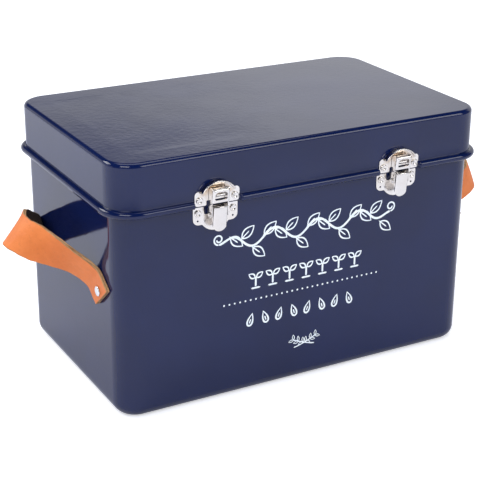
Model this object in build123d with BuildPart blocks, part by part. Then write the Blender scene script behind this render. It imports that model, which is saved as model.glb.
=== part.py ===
from build123d import *

import math
import os

os.makedirs("parts", exist_ok=True)

# Millimetres. Origin at the bottom centre of the tub, +X to the right, +Y to the back, +Z up.

# ---- Driving dimensions -------------------------------------------------------------------

# Closed lid, measured over its walls, without bead, latches and handles
lid_length = 300.0
lid_depth = 183.2
box_height = 191.0
lid_corner = 20.0
lid_top_round = 3.6
lid_edge_z = 152.9  # lower edge of the lid wall
bead_radius = 2.7  # wired edge round the lid's lower rim
bead_offset = 1.3  # bead centre outside the lid wall

sheet = 0.8  # steel sheet of tub, lid and partition
lid_overhang = 2.7  # lid wall outside the tub wall, each side
tub_bottom_round = 9.8
neck_inset = 3.3  # neck of the tub inside the lid
shoulder_z = 153.2
neck_z = 156.5
neck_top_z = 189.0
hem_width = 2.2  # rolled-in rim of the neck
hem_height = 2.4

# Latches, centred at +-latch_x on the front
latch_x = 75.0
latch_sheet = 0.8
ear_out = 17.2  # half width of keeper and base plate
rivet_x = 13.6
keeper_rivet_z = 158.2
keeper_low_z = 154.1
keeper_ear_top_z = 164.6
keeper_gap_z = 157.6  # top of the gap in the keeper's lower edge, for the lever and the claw's cheeks
dome_radius = 15.2
dome_z = 156.2
rim_height = 3.6
rim_thickness = 0.9
base_rivet_z = 148.0
pilot_z = 142.4  # small pilot holes under the base rivets
base_top_z = 152.5
base_ear_low_z = 139.4
base_ear_in = 9.2
base_ear_round = 4.4
lobe_radius = 12.2
lobe_z = 146.3
notch_z = 146.6  # bottom of the gap between ear and middle tab
middle_half = 5.4

pivot_out, pivot_z = 6.2, 152.3  # lever pin, outwards from the tub wall
claw_arm = 4.6  # lever pin to claw pin
over_centre = math.radians(8.0)  # the claw pin sits this far past the dead centre
lever_half = 5.3
lug_half = 4.2
lug_sheet = 0.9
boss_radius = 2.3  # round the pins
lever_eye = 2.2  # lever round the claw pin
claw_half = 6.6
lever_front = 9.8  # top of the tongue, which leans towards the box as it goes down
lever_foot = 7.4
lever_low_z = 135.2
lever_top_z = 153.6
claw_front = 10.4  # top of the claw's web, which leans in the same way
claw_foot = 9.2
claw_top_z = 166.8
claw_low_z = 156.8
arm_back = 1.4  # back edge of the claw's cheeks below the lid, outwards from the tub wall
bar_out = 5.6  # inner face of the claw's bar, which rests on the hook
bar_low_z = 162.6
hook_slope = math.radians(10.0)
hook_tip = 8.9
hook_half = 3.6
gap = 0.3  # between parts on different bodies

pin_radius = 1.0
fixed_hole = pin_radius + 0.02
running_hole = pin_radius + 0.05

# Rear hinges, centred at +-hinge_x
hinge_x = 80.0
hinge_half = 15.0
hinge_out, hinge_z = 5.1, 151.2  # pin, outwards from the tub's back wall
barrel_radius = 2.4
leaf = 1.0
knuckle_half = 5.05
hinge_pin_radius = 1.2
hinge_rivet_x = 9.0
body_leaf_low_z = 126.0
body_rivet_z = 134.0
lid_leaf_top_z = 174.0
lid_rivet_z = 165.0

# Rivets
head_radius = 2.6
head_height = 1.1
shank_radius = 1.3
tail_radius = 1.9
tail_height = 0.6

# Leather handles
strap_width = 26.0
strap_thickness = 3.0
strap_gap = 0.2  # between the tabs and the wall
strap_cut = 7.0  # the ends are cut aslant: upper edge longer by this much
strap_rivet_in = 6.0  # rivet from the end
# How each strap is bent, left (-1) and right (1); the right one bulges forward and hangs lower.
# rise: the riveted ends point up and towards the middle by this much; tab: flat on the wall;
# reach: how far the arch stands out from the tub wall, at mid thickness; tilt: the arch faces
# up by this much in the middle; lead, lags, dip: fullness of the curve between tab and arch
strap_shapes = {
    -1: {
        "rivet_y": 58.0, "rivet_z": 90.8, "rise": math.radians(33.7), "tab": 13.2,
        "lead": 18.0, "lags": {-1: 20.0, 1: 20.0},
        "reach": 39.6, "top_y": 0.0, "top_z": 121.0, "tilt": math.radians(44.5), "dip": 0.16,
    },
    1: {
        "rivet_y": 60.9, "rivet_z": 93.6, "rise": math.radians(24.3), "tab": 11.4,
        "lead": 18.7, "lags": {-1: 28.4, 1: 50.0},
        "reach": 37.8, "top_y": -30.9, "top_z": 119.1, "tilt": math.radians(25.7), "dip": 0.0,
    },
}
strap_head_radius = 3.8
strap_head_height = 0.9
strap_shank_radius = 1.6
washer_radius = 6.0
washer_height = 0.8

# Inside
partition_top_z = 150.0
flange_width = 10.0
flange_half = 66.0  # half length of the foot flange
card_width = 136.0
card_thickness = 1.2
card_low_z = 2.4
card_top_z = 160.0
tab_top_z = 174.0
tab_width = 21.0
card_pitch = 25.0
cards_in_row = 6

# ---- Worked out from them -----------------------------------------------------------------

tub_length = lid_length - 2 * lid_overhang
tub_depth = lid_depth - 2 * lid_overhang
tub_corner = lid_corner - lid_overhang
front = tub_depth / 2  # distance of the tub's front wall from the middle
end = tub_length / 2
claw_pin_out = pivot_out - claw_arm * math.sin(over_centre)
claw_pin_z = pivot_z - claw_arm * math.cos(over_centre)
hook_root = lid_overhang + latch_sheet
bar_outer = bar_out + latch_sheet


def hook_top(out):
    """Height of the hook's upper face, which slopes up outwards, just under the claw's bar."""
    return bar_low_z - gap + (out - bar_outer) * math.tan(hook_slope)


# ---- Planes -------------------------------------------------------------------------------


def front_plane(x, out=0.0, z=0.0):
    """Parallel to the front wall, out from the tub wall: local x to the right, local y up."""
    return Plane(origin=(x, -front - out, z), x_dir=(1, 0, 0), z_dir=(0, -1, 0))


def back_plane(x, out=0.0, z=0.0):
    """Parallel to the back wall, out from the tub wall: local x to the left, local y up."""
    return Plane(origin=(x, front + out, z), x_dir=(-1, 0, 0), z_dir=(0, 1, 0))


def latch_section(x, out=0.0, z=0.0):
    """Side view of a latch: local x outwards from the tub wall, local y up, normal along -X."""
    return Plane(origin=(x, -front - out, z), x_dir=(0, -1, 0), z_dir=(-1, 0, 0))


def hinge_section(x, out=0.0, z=0.0):
    """Side view of a hinge: local x outwards from the back wall, local y up, normal along +X."""
    return Plane(origin=(x, front + out, z), x_dir=(0, 1, 0), z_dir=(1, 0, 0))


def write(part, name):
    part.label = name
    export_step(part, f"parts/{name}.step")
    print(name, len(part.solids()), round(part.volume, 1))


# ---- Tub ----------------------------------------------------------------------------------


def tub_form(inset):
    """The tub as a solid, inset all round: wall, shoulder and neck."""
    with BuildPart() as form:
        with BuildSketch(Plane.XY.offset(inset)):
            RectangleRounded(tub_length - 2 * inset, tub_depth - 2 * inset, tub_corner - inset)
        extrude(amount=shoulder_z - inset)
        fillet(form.faces().sort_by(Axis.Z)[0].edges(), tub_bottom_round - inset)
        with BuildSketch(Plane.XY.offset(shoulder_z)):
            RectangleRounded(tub_length - 2 * inset, tub_depth - 2 * inset, tub_corner - inset)
        with BuildSketch(Plane.XY.offset(neck_z)):
            step = 2 * (neck_inset + inset)
            RectangleRounded(tub_length - step, tub_depth - step, tub_corner - step / 2)
        loft(ruled=True)
        with BuildSketch(Plane.XY.offset(neck_z)):
            RectangleRounded(tub_length - step, tub_depth - step, tub_corner - step / 2)
        extrude(amount=neck_top_z - neck_z)
    return form.part


def strap_point(u, side):
    """Middle of the strap at u from 0, the front end, to 2, the rear end, and its tilt.

    Each half is a flat tab and then a cubic curve from the tab to the top of the arch.
    """
    shape = strap_shapes[side]
    half, fore = (u, -1) if u <= 1 else (2 - u, 1)
    rise = Vector(0, -fore * math.cos(shape["rise"]), math.sin(shape["rise"]))
    rivet_x_at = -end - strap_gap - strap_thickness / 2
    start = Vector(rivet_x_at, fore * shape["rivet_y"], shape["rivet_z"]) - rise * strap_rivet_in
    bend = start + rise * shape["tab"]
    top = Vector(-end - shape["reach"], shape["top_y"], shape["top_z"])
    tab_share = 0.2
    if half < tab_share:
        point = start + rise * (shape["tab"] * half / tab_share)
        tilt = 0.0
    else:
        v = (half - tab_share) / (1 - tab_share)
        one = bend + rise * shape["lead"]
        two = top + Vector(0, fore * shape["lags"][fore], 0)
        point = bend * (1 - v) ** 3 + one * (3 * v * (1 - v) ** 2)
        point += two * (3 * v * v * (1 - v)) + top * v**3
        ease = v * v * (3 - 2 * v)
        tilt = shape["tilt"] * ease**1.5 - shape["dip"] * 4 * v * (1 - v)
    return Vector(-side * point.X, point.Y, point.Z), tilt


def strap_frame(u, side):
    """Point, direction along the strap, outward normal and direction across the strap."""
    step = 0.005
    point, tilt = strap_point(u, side)
    ahead = strap_point(min(2.0, u + step), side)[0]
    behind = strap_point(max(0.0, u - step), side)[0]
    along = (ahead - behind).normalized()
    if side < 0:
        facing = Vector(side * math.cos(tilt), 0, math.sin(tilt))
        outward = (facing - along * facing.dot(along)).normalized()
        across = along.cross(outward).normalized()
        if across.Z < 0:
            across = across * -1
        return point, along, outward, across
    # The right strap leaves the wall steeply, so its crosswise direction is led instead
    shape = strap_shapes[side]
    half, fore = (u, -1) if u <= 1 else (2 - u, 1)
    v = max(0.0, (half - 0.2) / 0.8)
    ease = v * v * (3 - 2 * v)
    at_tab = Vector(0, fore * math.sin(shape["rise"]), math.cos(shape["rise"]))
    at_top = Vector(-math.sin(shape["tilt"]), 0, math.cos(shape["tilt"]))
    lead = at_tab * (1 - ease) + at_top * ease
    across = (lead - along * lead.dot(along)).normalized()
    return point, along, along.cross(across), across


def strap_rivet_planes(side):
    """At the two rivets of one strap, on the tub wall, normal outwards."""
    return [
        Plane(
            origin=(side * end, fore * strap_shapes[side]["rivet_y"], strap_shapes[side]["rivet_z"]),
            x_dir=(0, side, 0),
            z_dir=(side, 0, 0),
        )
        for fore in (-1, 1)
    ]


signs = [(s, t) for s in (-1, 1) for t in (-1, 1)]
base_rivets = [front_plane(s * latch_x + t * rivet_x, 0, base_rivet_z) for s, t in signs]
keeper_rivets = [
    front_plane(s * latch_x + t * rivet_x, lid_overhang, keeper_rivet_z) for s, t in signs
]
body_leaf_rivets = [back_plane(s * hinge_x + t * hinge_rivet_x, 0, body_rivet_z) for s, t in signs]
lid_leaf_rivets = [
    back_plane(s * hinge_x + t * hinge_rivet_x, lid_overhang, lid_rivet_z) for s, t in signs
]
strap_rivets = strap_rivet_planes(-1) + strap_rivet_planes(1)

with BuildPart() as body_tub:
    add(tub_form(0))
    add(tub_form(sheet), mode=Mode.SUBTRACT)
    with BuildSketch(Plane.XY.offset(neck_top_z - hem_height)):
        outer = 2 * neck_inset
        inner = outer + 2 * hem_width
        RectangleRounded(tub_length - outer, tub_depth - outer, tub_corner - outer / 2)
        RectangleRounded(
            tub_length - inner, tub_depth - inner, tub_corner - inner / 2, mode=Mode.SUBTRACT
        )
    extrude(amount=hem_height)
    with Locations(*base_rivets, *body_leaf_rivets):
        Cylinder(shank_radius + 0.02, 6, mode=Mode.SUBTRACT)
    with Locations(*strap_rivets):
        Cylinder(strap_shank_radius + 0.02, 6, mode=Mode.SUBTRACT)
write(body_tub.part, "body_tub")

# ---- Lid ----------------------------------------------------------------------------------


def lid_form(inset):
    """The lid's pan as a solid, inset all round and at the top."""
    with BuildPart() as form:
        with BuildSketch(Plane.XY.offset(lid_edge_z)):
            RectangleRounded(lid_length - 2 * inset, lid_depth - 2 * inset, lid_corner - inset)
        extrude(amount=box_height - inset - lid_edge_z)
        fillet(form.faces().sort_by(Axis.Z)[-1].edges(), lid_top_round - inset)
    return form.part


with BuildPart() as lid_shell:
    add(lid_form(0))
    bead_reach = 2 * bead_offset
    with BuildLine(Plane.XY.offset(lid_edge_z + bead_radius)) as bead_path:
        half_x, half_y = lid_length / 2 + bead_offset, lid_depth / 2 + bead_offset
        turn = lid_corner + bead_offset
        Polyline(
            (0, -half_y), (half_x, -half_y), (half_x, half_y),
            (-half_x, half_y), (-half_x, -half_y), (0, -half_y), close=False,
        )
        fillet(bead_path.vertices().filter_by(lambda v: abs(v.X) > 1), turn)
    bead_start = Plane(
        origin=(0, -half_y, lid_edge_z + bead_radius), x_dir=(0, 1, 0), z_dir=(1, 0, 0)
    )
    with BuildSketch(bead_start):
        Circle(bead_radius)
    sweep(path=bead_path.wires()[0])
    add(lid_form(sheet), mode=Mode.SUBTRACT)
    # The bead is pressed flat behind each keeper and each hinge
    for x in (-latch_x, latch_x):
        with BuildSketch(front_plane(x, lid_overhang)):
            with Locations((0, lid_edge_z + bead_radius)):
                Rectangle(2 * ear_out + 0.8, 4 * bead_radius)
        extrude(amount=3 * bead_radius, mode=Mode.SUBTRACT)
    for x in (-hinge_x, hinge_x):
        with BuildSketch(back_plane(x, lid_overhang)):
            with Locations((0, lid_edge_z + bead_radius)):
                Rectangle(2 * hinge_half + 3, 4 * bead_radius)
        extrude(amount=3 * bead_radius, mode=Mode.SUBTRACT)
    with Locations(*keeper_rivets, *lid_leaf_rivets):
        Cylinder(shank_radius + 0.02, 6, mode=Mode.SUBTRACT)
write(lid_shell.part, "lid_shell")

# ---- Centre partition ---------------------------------------------------------------------

with BuildPart() as centre_partition:
    wall_in = front - sheet
    with BuildSketch(Plane.YZ.offset(-sheet / 2)):
        with Locations((0, (sheet + partition_top_z) / 2)):
            Rectangle(2 * wall_in, partition_top_z - sheet)
    extrude(amount=sheet)
    low_corners = centre_partition.edges().filter_by(Axis.X).group_by(Axis.Z)[0]
    chamfer(low_corners, tub_bottom_round + 2)
    with BuildSketch(Plane.XY.offset(sheet)):
        with Locations((flange_width / 2, 0)):
            Rectangle(flange_width, 2 * flange_half)
    extrude(amount=sheet)
    for fore in (-1, 1):
        with BuildSketch(Plane.XZ.offset(-fore * wall_in)):
            low = sheet + tub_bottom_round + 4
            with Locations((flange_width / 2, (low + partition_top_z) / 2)):
                Rectangle(flange_width, partition_top_z - low)
        extrude(amount=fore * sheet)
    # Rolled upper edge
    with BuildSketch(Plane.XZ.offset(-wall_in + 4)):
        with Locations((0, partition_top_z)):
            Circle(1.3)
    extrude(amount=2 * (wall_in - 4))
write(centre_partition.part, "centre_partition")

# ---- Rivets -------------------------------------------------------------------------------


def rivet(lift, grip, head, height, shank, tail, tail_length):
    """A rivet along +Z, with its joint face at 0: domed head above, tail below the grip."""
    brim = 0.25 * height
    crown = height - brim
    dome = (head**2 + crown**2) / (2 * crown)  # radius of the sphere that the head is cut from
    half_turn = math.asin(head / dome) / 2
    with BuildPart() as single:
        with BuildSketch(Plane.XZ):
            with BuildLine():
                Polyline(
                    (0, lift + height), (0, -grip - tail_length), (tail, -grip - tail_length),
                    (tail, -grip), (shank, -grip), (shank, lift), (head, lift), (head, lift + brim),
                )
                ThreePointArc(
                    (head, lift + brim),
                    (dome * math.sin(half_turn), lift + height - dome * (1 - math.cos(half_turn))),
                    (0, lift + height),
                )
            make_face()
        revolve(axis=Axis.Z)
    return single.part


small_rivet = rivet(
    latch_sheet, sheet, head_radius, head_height, shank_radius, tail_radius, tail_height
)
leaf_rivet = rivet(leaf, sheet, head_radius, head_height, shank_radius, tail_radius, tail_height)
strap_rivet = rivet(
    strap_thickness + 2 * strap_gap, sheet + washer_height, strap_head_radius, strap_head_height,
    strap_shank_radius, washer_radius / 2, washer_height,
)

for name, single, planes in (
    ("base_rivets", small_rivet, base_rivets),
    ("keeper_rivets", small_rivet, keeper_rivets),
    ("hinge_body_rivets", leaf_rivet, body_leaf_rivets),
    ("hinge_lid_rivets", leaf_rivet, lid_leaf_rivets),
    ("handle_rivets", strap_rivet, strap_rivets),
):
    with BuildPart() as group:
        with Locations(*planes):
            add(single)
    write(group.part, name)

with BuildPart() as handle_washers:
    for plane in strap_rivets:
        with BuildSketch(plane.offset(-sheet)):
            Circle(washer_radius)
            Circle(strap_shank_radius + 0.02, mode=Mode.SUBTRACT)
        extrude(amount=-washer_height)
write(handle_washers.part, "handle_washers")

# ---- Handles ------------------------------------------------------------------------------

for side, name, sections in ((-1, "left_handle_strap", 22), (1, "right_handle_strap", 32)):
    with BuildPart() as strap:
        for n in range(sections + 1):
            point, along, outward, across = strap_frame(2 * n / sections, side)
            if n in (0, sections):
                # upper corners reach past the square end, lower corners stop short of it
                backward = along * (-1 if n == 0 else 1)
                across = (across * strap_width + backward * strap_cut).normalized()
            width = strap_width if 0 < n < sections else math.hypot(strap_width, strap_cut)
            with BuildSketch(Plane(origin=point, x_dir=across, z_dir=outward.cross(across))):
                Rectangle(width, strap_thickness)
        loft()
        with Locations(*strap_rivet_planes(side)):
            Cylinder(strap_shank_radius + 0.02, 12, mode=Mode.SUBTRACT)
    write(strap.part, name)

# ---- Latches ------------------------------------------------------------------------------

for side, name in ((-1, "left_latch"), (1, "right_latch")):
    x = side * latch_x

    with BuildPart() as keeper:
        with BuildSketch(front_plane(x, lid_overhang)):
            with Locations((0, (keeper_low_z + keeper_ear_top_z) / 2)):
                RectangleRounded(2 * ear_out, keeper_ear_top_z - keeper_low_z, 2.6)
            with Locations((0, dome_z)):
                Circle(dome_radius)
            with Locations((0, keeper_low_z - dome_radius)):
                Rectangle(4 * ear_out, 2 * dome_radius, mode=Mode.SUBTRACT)
            with Locations((0, keeper_low_z)):
                Rectangle(
                    2 * claw_half + 2, 2 * (keeper_gap_z - keeper_low_z), mode=Mode.SUBTRACT
                )
        extrude(amount=latch_sheet)
        with BuildSketch(front_plane(x, hook_root)):
            with Locations((0, dome_z)):
                Circle(dome_radius)
                Circle(dome_radius - rim_thickness, mode=Mode.SUBTRACT)
            with Locations((0, keeper_ear_top_z - 1.4 - dome_radius)):
                Rectangle(4 * ear_out, 2 * dome_radius, mode=Mode.SUBTRACT)
        extrude(amount=rim_height)
        with BuildSketch(latch_section(x)):
            with BuildLine():
                nose = hook_tip - 0.7
                Polyline(
                    (nose, hook_top(nose) - 1.4), (hook_root + 1.4, hook_top(hook_root) - 1.4),
                    (hook_root, hook_top(hook_root) - 3.0), (hook_root - 0.2, hook_top(hook_root) - 3.0),
                    (hook_root - 0.2, hook_top(hook_root)), (hook_root, hook_top(hook_root)),
                    (nose, hook_top(nose)),
                )
                ThreePointArc(
                    (nose, hook_top(nose)),
                    (hook_tip, hook_top(nose) - 0.7),
                    (nose, hook_top(nose) - 1.4),
                )
            make_face()
        extrude(amount=hook_half, both=True)
        with Locations(*keeper_rivets):
            Cylinder(shank_radius + 0.02, 6, mode=Mode.SUBTRACT)
    write(keeper.part, f"{name}_keeper")

    with BuildPart() as base_plate:
        with BuildSketch(front_plane(x)):
            with BuildLine():
                lobe_edge = math.sqrt(lobe_radius**2 - (lobe_z - base_ear_low_z) ** 2)
                Polyline(
                    (0, base_top_z), (middle_half, base_top_z), (middle_half, notch_z),
                    (base_ear_in - 0.6, notch_z), (base_ear_in, base_top_z), (ear_out, base_top_z),
                    (ear_out, base_ear_low_z + base_ear_round),
                )
                RadiusArc(
                    (ear_out, base_ear_low_z + base_ear_round),
                    (ear_out - base_ear_round, base_ear_low_z),
                    base_ear_round,
                )
                Line((ear_out - base_ear_round, base_ear_low_z), (lobe_edge, base_ear_low_z))
                lobe_mid = math.atan2(base_ear_low_z - lobe_z, lobe_edge) / 2 - math.pi / 4
                ThreePointArc(
                    (lobe_edge, base_ear_low_z),
                    (lobe_radius * math.cos(lobe_mid), lobe_z + lobe_radius * math.sin(lobe_mid)),
                    (0, lobe_z - lobe_radius),
                )
                mirror(about=Plane.YZ)
            make_face()
        extrude(amount=latch_sheet)
        for inner in (-lug_half, lug_half - lug_sheet):
            with BuildSketch(latch_section(x + inner + lug_sheet)):
                with Locations((pivot_out, pivot_z)):
                    Circle(boss_radius)
                with BuildLine():
                    Polyline(
                        (0, notch_z), (2.2, notch_z), (pivot_out, pivot_z - boss_radius),
                        (pivot_out, pivot_z), (hook_root, base_top_z), (0, base_top_z), close=True,
                    )
                make_face()
            extrude(amount=lug_sheet)
        with Locations(latch_section(x, pivot_out, pivot_z)):
            Cylinder(fixed_hole, 4 * lug_half, mode=Mode.SUBTRACT)
        with Locations(*base_rivets):
            Cylinder(shank_radius + 0.02, 6, mode=Mode.SUBTRACT)
        with Locations(*[front_plane(x + t * rivet_x, 0, pilot_z) for t in (-1, 1)]):
            Cylinder(0.7, 6, mode=Mode.SUBTRACT)
    write(base_plate.part, f"{name}_base_plate")

    with BuildPart() as lever:
        with BuildSketch(latch_section(x)):
            with Locations((pivot_out, pivot_z)):
                Circle(boss_radius)
            with Locations((claw_pin_out, claw_pin_z)):
                Circle(lever_eye)
            with BuildLine():
                Polyline(
                    (lever_front, lever_top_z), (pivot_out, pivot_z + boss_radius),
                    (claw_pin_out - lever_eye, claw_pin_z),
                    (claw_pin_out - 0.6, claw_pin_z - lever_eye),
                    (lever_foot - latch_sheet, lever_low_z + 4.0),
                    (lever_foot - latch_sheet, lever_low_z), (lever_foot, lever_low_z), close=True,
                )
            make_face()
        extrude(amount=lever_half, both=True)
        # hollow behind the tongue, parallel to its sloping front
        with BuildSketch(latch_section(x)):
            with BuildLine():
                over = 10 * (lever_front - lever_foot) / (lever_top_z - lever_low_z)
                Polyline(
                    (lever_front - latch_sheet + over, lever_top_z + 10),
                    (lever_foot - latch_sheet - over, lever_low_z - 10),
                    (-10, lever_low_z - 10), (-10, lever_top_z + 10), close=True,
                )
            make_face()
        extrude(amount=lever_half - latch_sheet, both=True, mode=Mode.SUBTRACT)
        with BuildSketch(front_plane(x)):
            with Locations((0, lever_low_z + lever_half)):
                Circle(lever_half)
            with Locations((0, lever_low_z + lever_half + 10)):
                Rectangle(2 * lever_half, 20)
        extrude(amount=15, mode=Mode.INTERSECT)
        # rolled upper edge of the tongue
        with BuildSketch(latch_section(x)):
            with Locations((lever_front - 0.2, lever_top_z - 0.2)):
                Circle(0.8)
        extrude(amount=lever_half, both=True)
        with Locations(latch_section(x, pivot_out, pivot_z)):
            Cylinder(running_hole, 4 * lever_half, mode=Mode.SUBTRACT)
        with Locations(latch_section(x, claw_pin_out, claw_pin_z)):
            Cylinder(fixed_hole, 4 * lever_half, mode=Mode.SUBTRACT)
    write(lever.part, f"{name}_lever")

    with BuildPart() as claw:
        claw_inner = claw_half - latch_sheet
        clear = gap + 0.1
        with BuildSketch(latch_section(x)):
            with Locations((claw_pin_out, claw_pin_z)):
                Circle(boss_radius)
            with BuildLine():
                # the cheeks reach back between the ears, clear of the keeper and the lid's edge
                Polyline(
                    (claw_pin_out, claw_pin_z - boss_radius),
                    (arm_back + 1.6, claw_pin_z - boss_radius + 0.4),
                    (arm_back, claw_pin_z - 0.4), (arm_back, lid_edge_z - 2.0),
                    (lid_overhang + clear, lid_edge_z - 0.5), (lid_overhang + clear, keeper_gap_z - 1),
                    (hook_root + clear, keeper_gap_z - 0.4), (hook_root + clear, claw_top_z - 1.6),
                    (bar_out, claw_top_z), (claw_front - 1.2, claw_top_z),
                    (claw_front, claw_top_z - 1.2), (claw_foot, claw_low_z),
                    (claw_pin_out + boss_radius, claw_low_z - 4),
                    (claw_pin_out + boss_radius, claw_pin_z), close=True,
                )
            make_face()
        extrude(amount=claw_half, both=True)
        # hollow between the cheeks, open below the web and towards the box
        with BuildSketch(latch_section(x)):
            with BuildLine():
                Polyline(
                    (-5, 130), (-5, 180), (bar_out, 180), (bar_out, bar_low_z), (bar_outer, bar_low_z),
                    (bar_outer, claw_top_z - latch_sheet),
                    (claw_front - latch_sheet, claw_top_z - latch_sheet),
                    (claw_foot - latch_sheet, claw_low_z), (20, claw_low_z), (20, 130), close=True,
                )
            make_face()
        extrude(amount=claw_inner, both=True, mode=Mode.SUBTRACT)
        with BuildSketch(front_plane(x, claw_front - 2)):
            with Locations((0, 161.7)):
                RectangleRounded(9.8, 6.0, 2.4)
        extrude(amount=4, mode=Mode.SUBTRACT)
        with Locations(latch_section(x, claw_pin_out, claw_pin_z)):
            Cylinder(running_hole, 4 * claw_half, mode=Mode.SUBTRACT)
    write(claw.part, f"{name}_claw")

    with BuildPart() as lever_pin:
        with BuildSketch(latch_section(x)):
            with Locations((pivot_out, pivot_z)):
                Circle(pin_radius)
        extrude(amount=lever_half, both=True)
    write(lever_pin.part, f"{name}_lever_pin")

    with BuildPart() as claw_pin:
        with BuildSketch(latch_section(x)):
            with Locations((claw_pin_out, claw_pin_z)):
                Circle(pin_radius)
        extrude(amount=claw_half + gap, both=True)
        for offset in (claw_half + gap + 0.6, -claw_half - gap):
            with BuildSketch(latch_section(x + offset)):
                with Locations((claw_pin_out, claw_pin_z)):
                    Circle(1.7)
            extrude(amount=0.6)
    write(claw_pin.part, f"{name}_claw_pin")

# ---- Hinges -------------------------------------------------------------------------------

for side, name in ((-1, "left_hinge"), (1, "right_hinge")):
    x = side * hinge_x

    with BuildPart() as body_leaf:
        with BuildSketch(hinge_section(x)):
            with Locations((hinge_out, hinge_z)):
                Circle(barrel_radius)
            with BuildLine():
                Polyline(
                    (0, body_leaf_low_z), (leaf, body_leaf_low_z), (leaf, 144.2), (4.4, 149.1),
                    (hinge_out, hinge_z), (2.9, 150.0), (0, 145.6), close=True,
                )
            make_face()
        extrude(amount=hinge_half, both=True)
        with BuildSketch(hinge_section(x)):
            with Locations((5, 157)):
                Rectangle(20, 20)
        extrude(amount=knuckle_half + 0.15, both=True, mode=Mode.SUBTRACT)
        with Locations(hinge_section(x, hinge_out, hinge_z)):
            Cylinder(hinge_pin_radius + 0.02, 4 * hinge_half, mode=Mode.SUBTRACT)
        with Locations(*body_leaf_rivets):
            Cylinder(shank_radius + 0.02, 6, mode=Mode.SUBTRACT)
        fillet(body_leaf.edges().filter_by(Axis.Y).group_by(Axis.Z)[0], 4)
    write(body_leaf.part, f"{name}_body_leaf")

    with BuildPart() as lid_leaf:
        with BuildSketch(hinge_section(x)):
            with Locations((hinge_out, hinge_z)):
                Circle(barrel_radius)
            with Locations((lid_overhang + leaf / 2, (hinge_z + 156) / 2)):
                Rectangle(leaf, 156 - hinge_z)
        extrude(amount=knuckle_half - 0.15, both=True)
        with BuildSketch(back_plane(x, lid_overhang)):
            with Locations((0, (154.4 + lid_leaf_top_z) / 2)):
                Rectangle(2 * hinge_half, lid_leaf_top_z - 154.4)
        extrude(amount=leaf)
        fillet(lid_leaf.edges().filter_by(Axis.Y).group_by(Axis.Z)[-1], 4)
        with Locations(hinge_section(x, hinge_out, hinge_z)):
            Cylinder(hinge_pin_radius + 0.06, 4 * hinge_half, mode=Mode.SUBTRACT)
        with Locations(*lid_leaf_rivets):
            Cylinder(shank_radius + 0.02, 6, mode=Mode.SUBTRACT)
    write(lid_leaf.part, f"{name}_lid_leaf")

    with BuildPart() as hinge_pin:
        with BuildSketch(hinge_section(x)):
            with Locations((hinge_out, hinge_z)):
                Circle(hinge_pin_radius)
        extrude(amount=hinge_half + 0.6, both=True)
    write(hinge_pin.part, f"{name}_pin")

# ---- Index cards --------------------------------------------------------------------------

row_start = -(cards_in_row - 1) / 2 * card_pitch
card_middle = end - neck_inset - sheet - 1.5 - card_width / 2
tab_step = (card_width - tab_width - 8) / (cards_in_row - 1)
for number in range(2 * cards_in_row):
    row, place = divmod(number, cards_in_row)
    middle = card_middle * (1 if row else -1)
    tab_x = middle - (card_width - tab_width - 8) / 2 + place * tab_step
    with BuildPart() as card:
        with BuildSketch(Plane.XZ.offset(-(row_start + place * card_pitch))):
            with Locations((middle, (card_low_z + card_top_z) / 2)):
                RectangleRounded(card_width, card_top_z - card_low_z, 4)
            with Locations((tab_x, (card_top_z - 8 + tab_top_z) / 2)):
                RectangleRounded(tab_width, tab_top_z - card_top_z + 8, 3)
        extrude(amount=card_thickness / 2, both=True)
    write(card.part, f"index_card_{number + 1:02d}")
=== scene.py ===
import math

import bmesh
import bpy
import numpy as np
from mathutils import Matrix, Vector
from mathutils.geometry import delaunay_2d_cdt


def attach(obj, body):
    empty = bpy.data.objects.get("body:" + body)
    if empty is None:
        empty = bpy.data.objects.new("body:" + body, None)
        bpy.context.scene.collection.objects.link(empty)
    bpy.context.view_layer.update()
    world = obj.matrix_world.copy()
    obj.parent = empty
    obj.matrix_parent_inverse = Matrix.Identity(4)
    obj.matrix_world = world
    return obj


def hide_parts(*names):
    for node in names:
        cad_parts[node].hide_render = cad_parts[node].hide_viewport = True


# Garden seed organizer box. All sizes below are in millimetres until putMesh turns them into metres.
# Origin at the bottom centre of the tub, X to the right, Y to the back, Z up.

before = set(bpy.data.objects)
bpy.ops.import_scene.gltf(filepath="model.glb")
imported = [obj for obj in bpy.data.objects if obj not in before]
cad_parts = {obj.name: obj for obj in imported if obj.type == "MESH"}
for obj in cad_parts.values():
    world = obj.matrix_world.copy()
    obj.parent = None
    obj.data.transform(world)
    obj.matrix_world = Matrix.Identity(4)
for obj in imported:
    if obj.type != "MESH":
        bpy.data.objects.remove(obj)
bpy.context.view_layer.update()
mm = 0.001
frontY, endX = -88.9, 147.3  # outer faces of the tub's front and end walls
lidOut = 2.7  # the lid's wall stands this far outside the tub's


# shared mesh work

def roundCorners(points, radii, steps=5):
    # each corner becomes an arc that touches both runs: centre = corner + bisector * r / sin(half angle)
    p = np.asarray(points, float)
    r = np.broadcast_to(np.asarray(radii, float), len(p))[:, None]
    back, ahead = np.roll(p, 1, 0) - p, np.roll(p, -1, 0) - p
    back /= np.linalg.norm(back, axis=1, keepdims=True)
    ahead /= np.linalg.norm(ahead, axis=1, keepdims=True)
    half = np.arccos(np.clip((back * ahead).sum(1, keepdims=True), -0.99999, 0.99999)) / 2
    middle = (back + ahead) / np.maximum(np.linalg.norm(back + ahead, axis=1, keepdims=True), 1e-9)
    centre = p + middle * r / np.sin(half)
    first, last = p + back * r / np.tan(half) - centre, p + ahead * r / np.tan(half) - centre
    sweep = np.pi - 2 * half
    t = np.linspace(0, 1, steps)[None, :, None]
    turn = sweep[:, None, :]
    arc = (first[:, None] * np.sin((1 - t) * turn) + last[:, None] * np.sin(t * turn)) / np.sin(turn)
    out = (centre[:, None] + arc).reshape(-1, 2)
    keep = np.linalg.norm(out - np.roll(out, 1, 0), axis=1) > 1e-4
    return out[keep]


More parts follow.
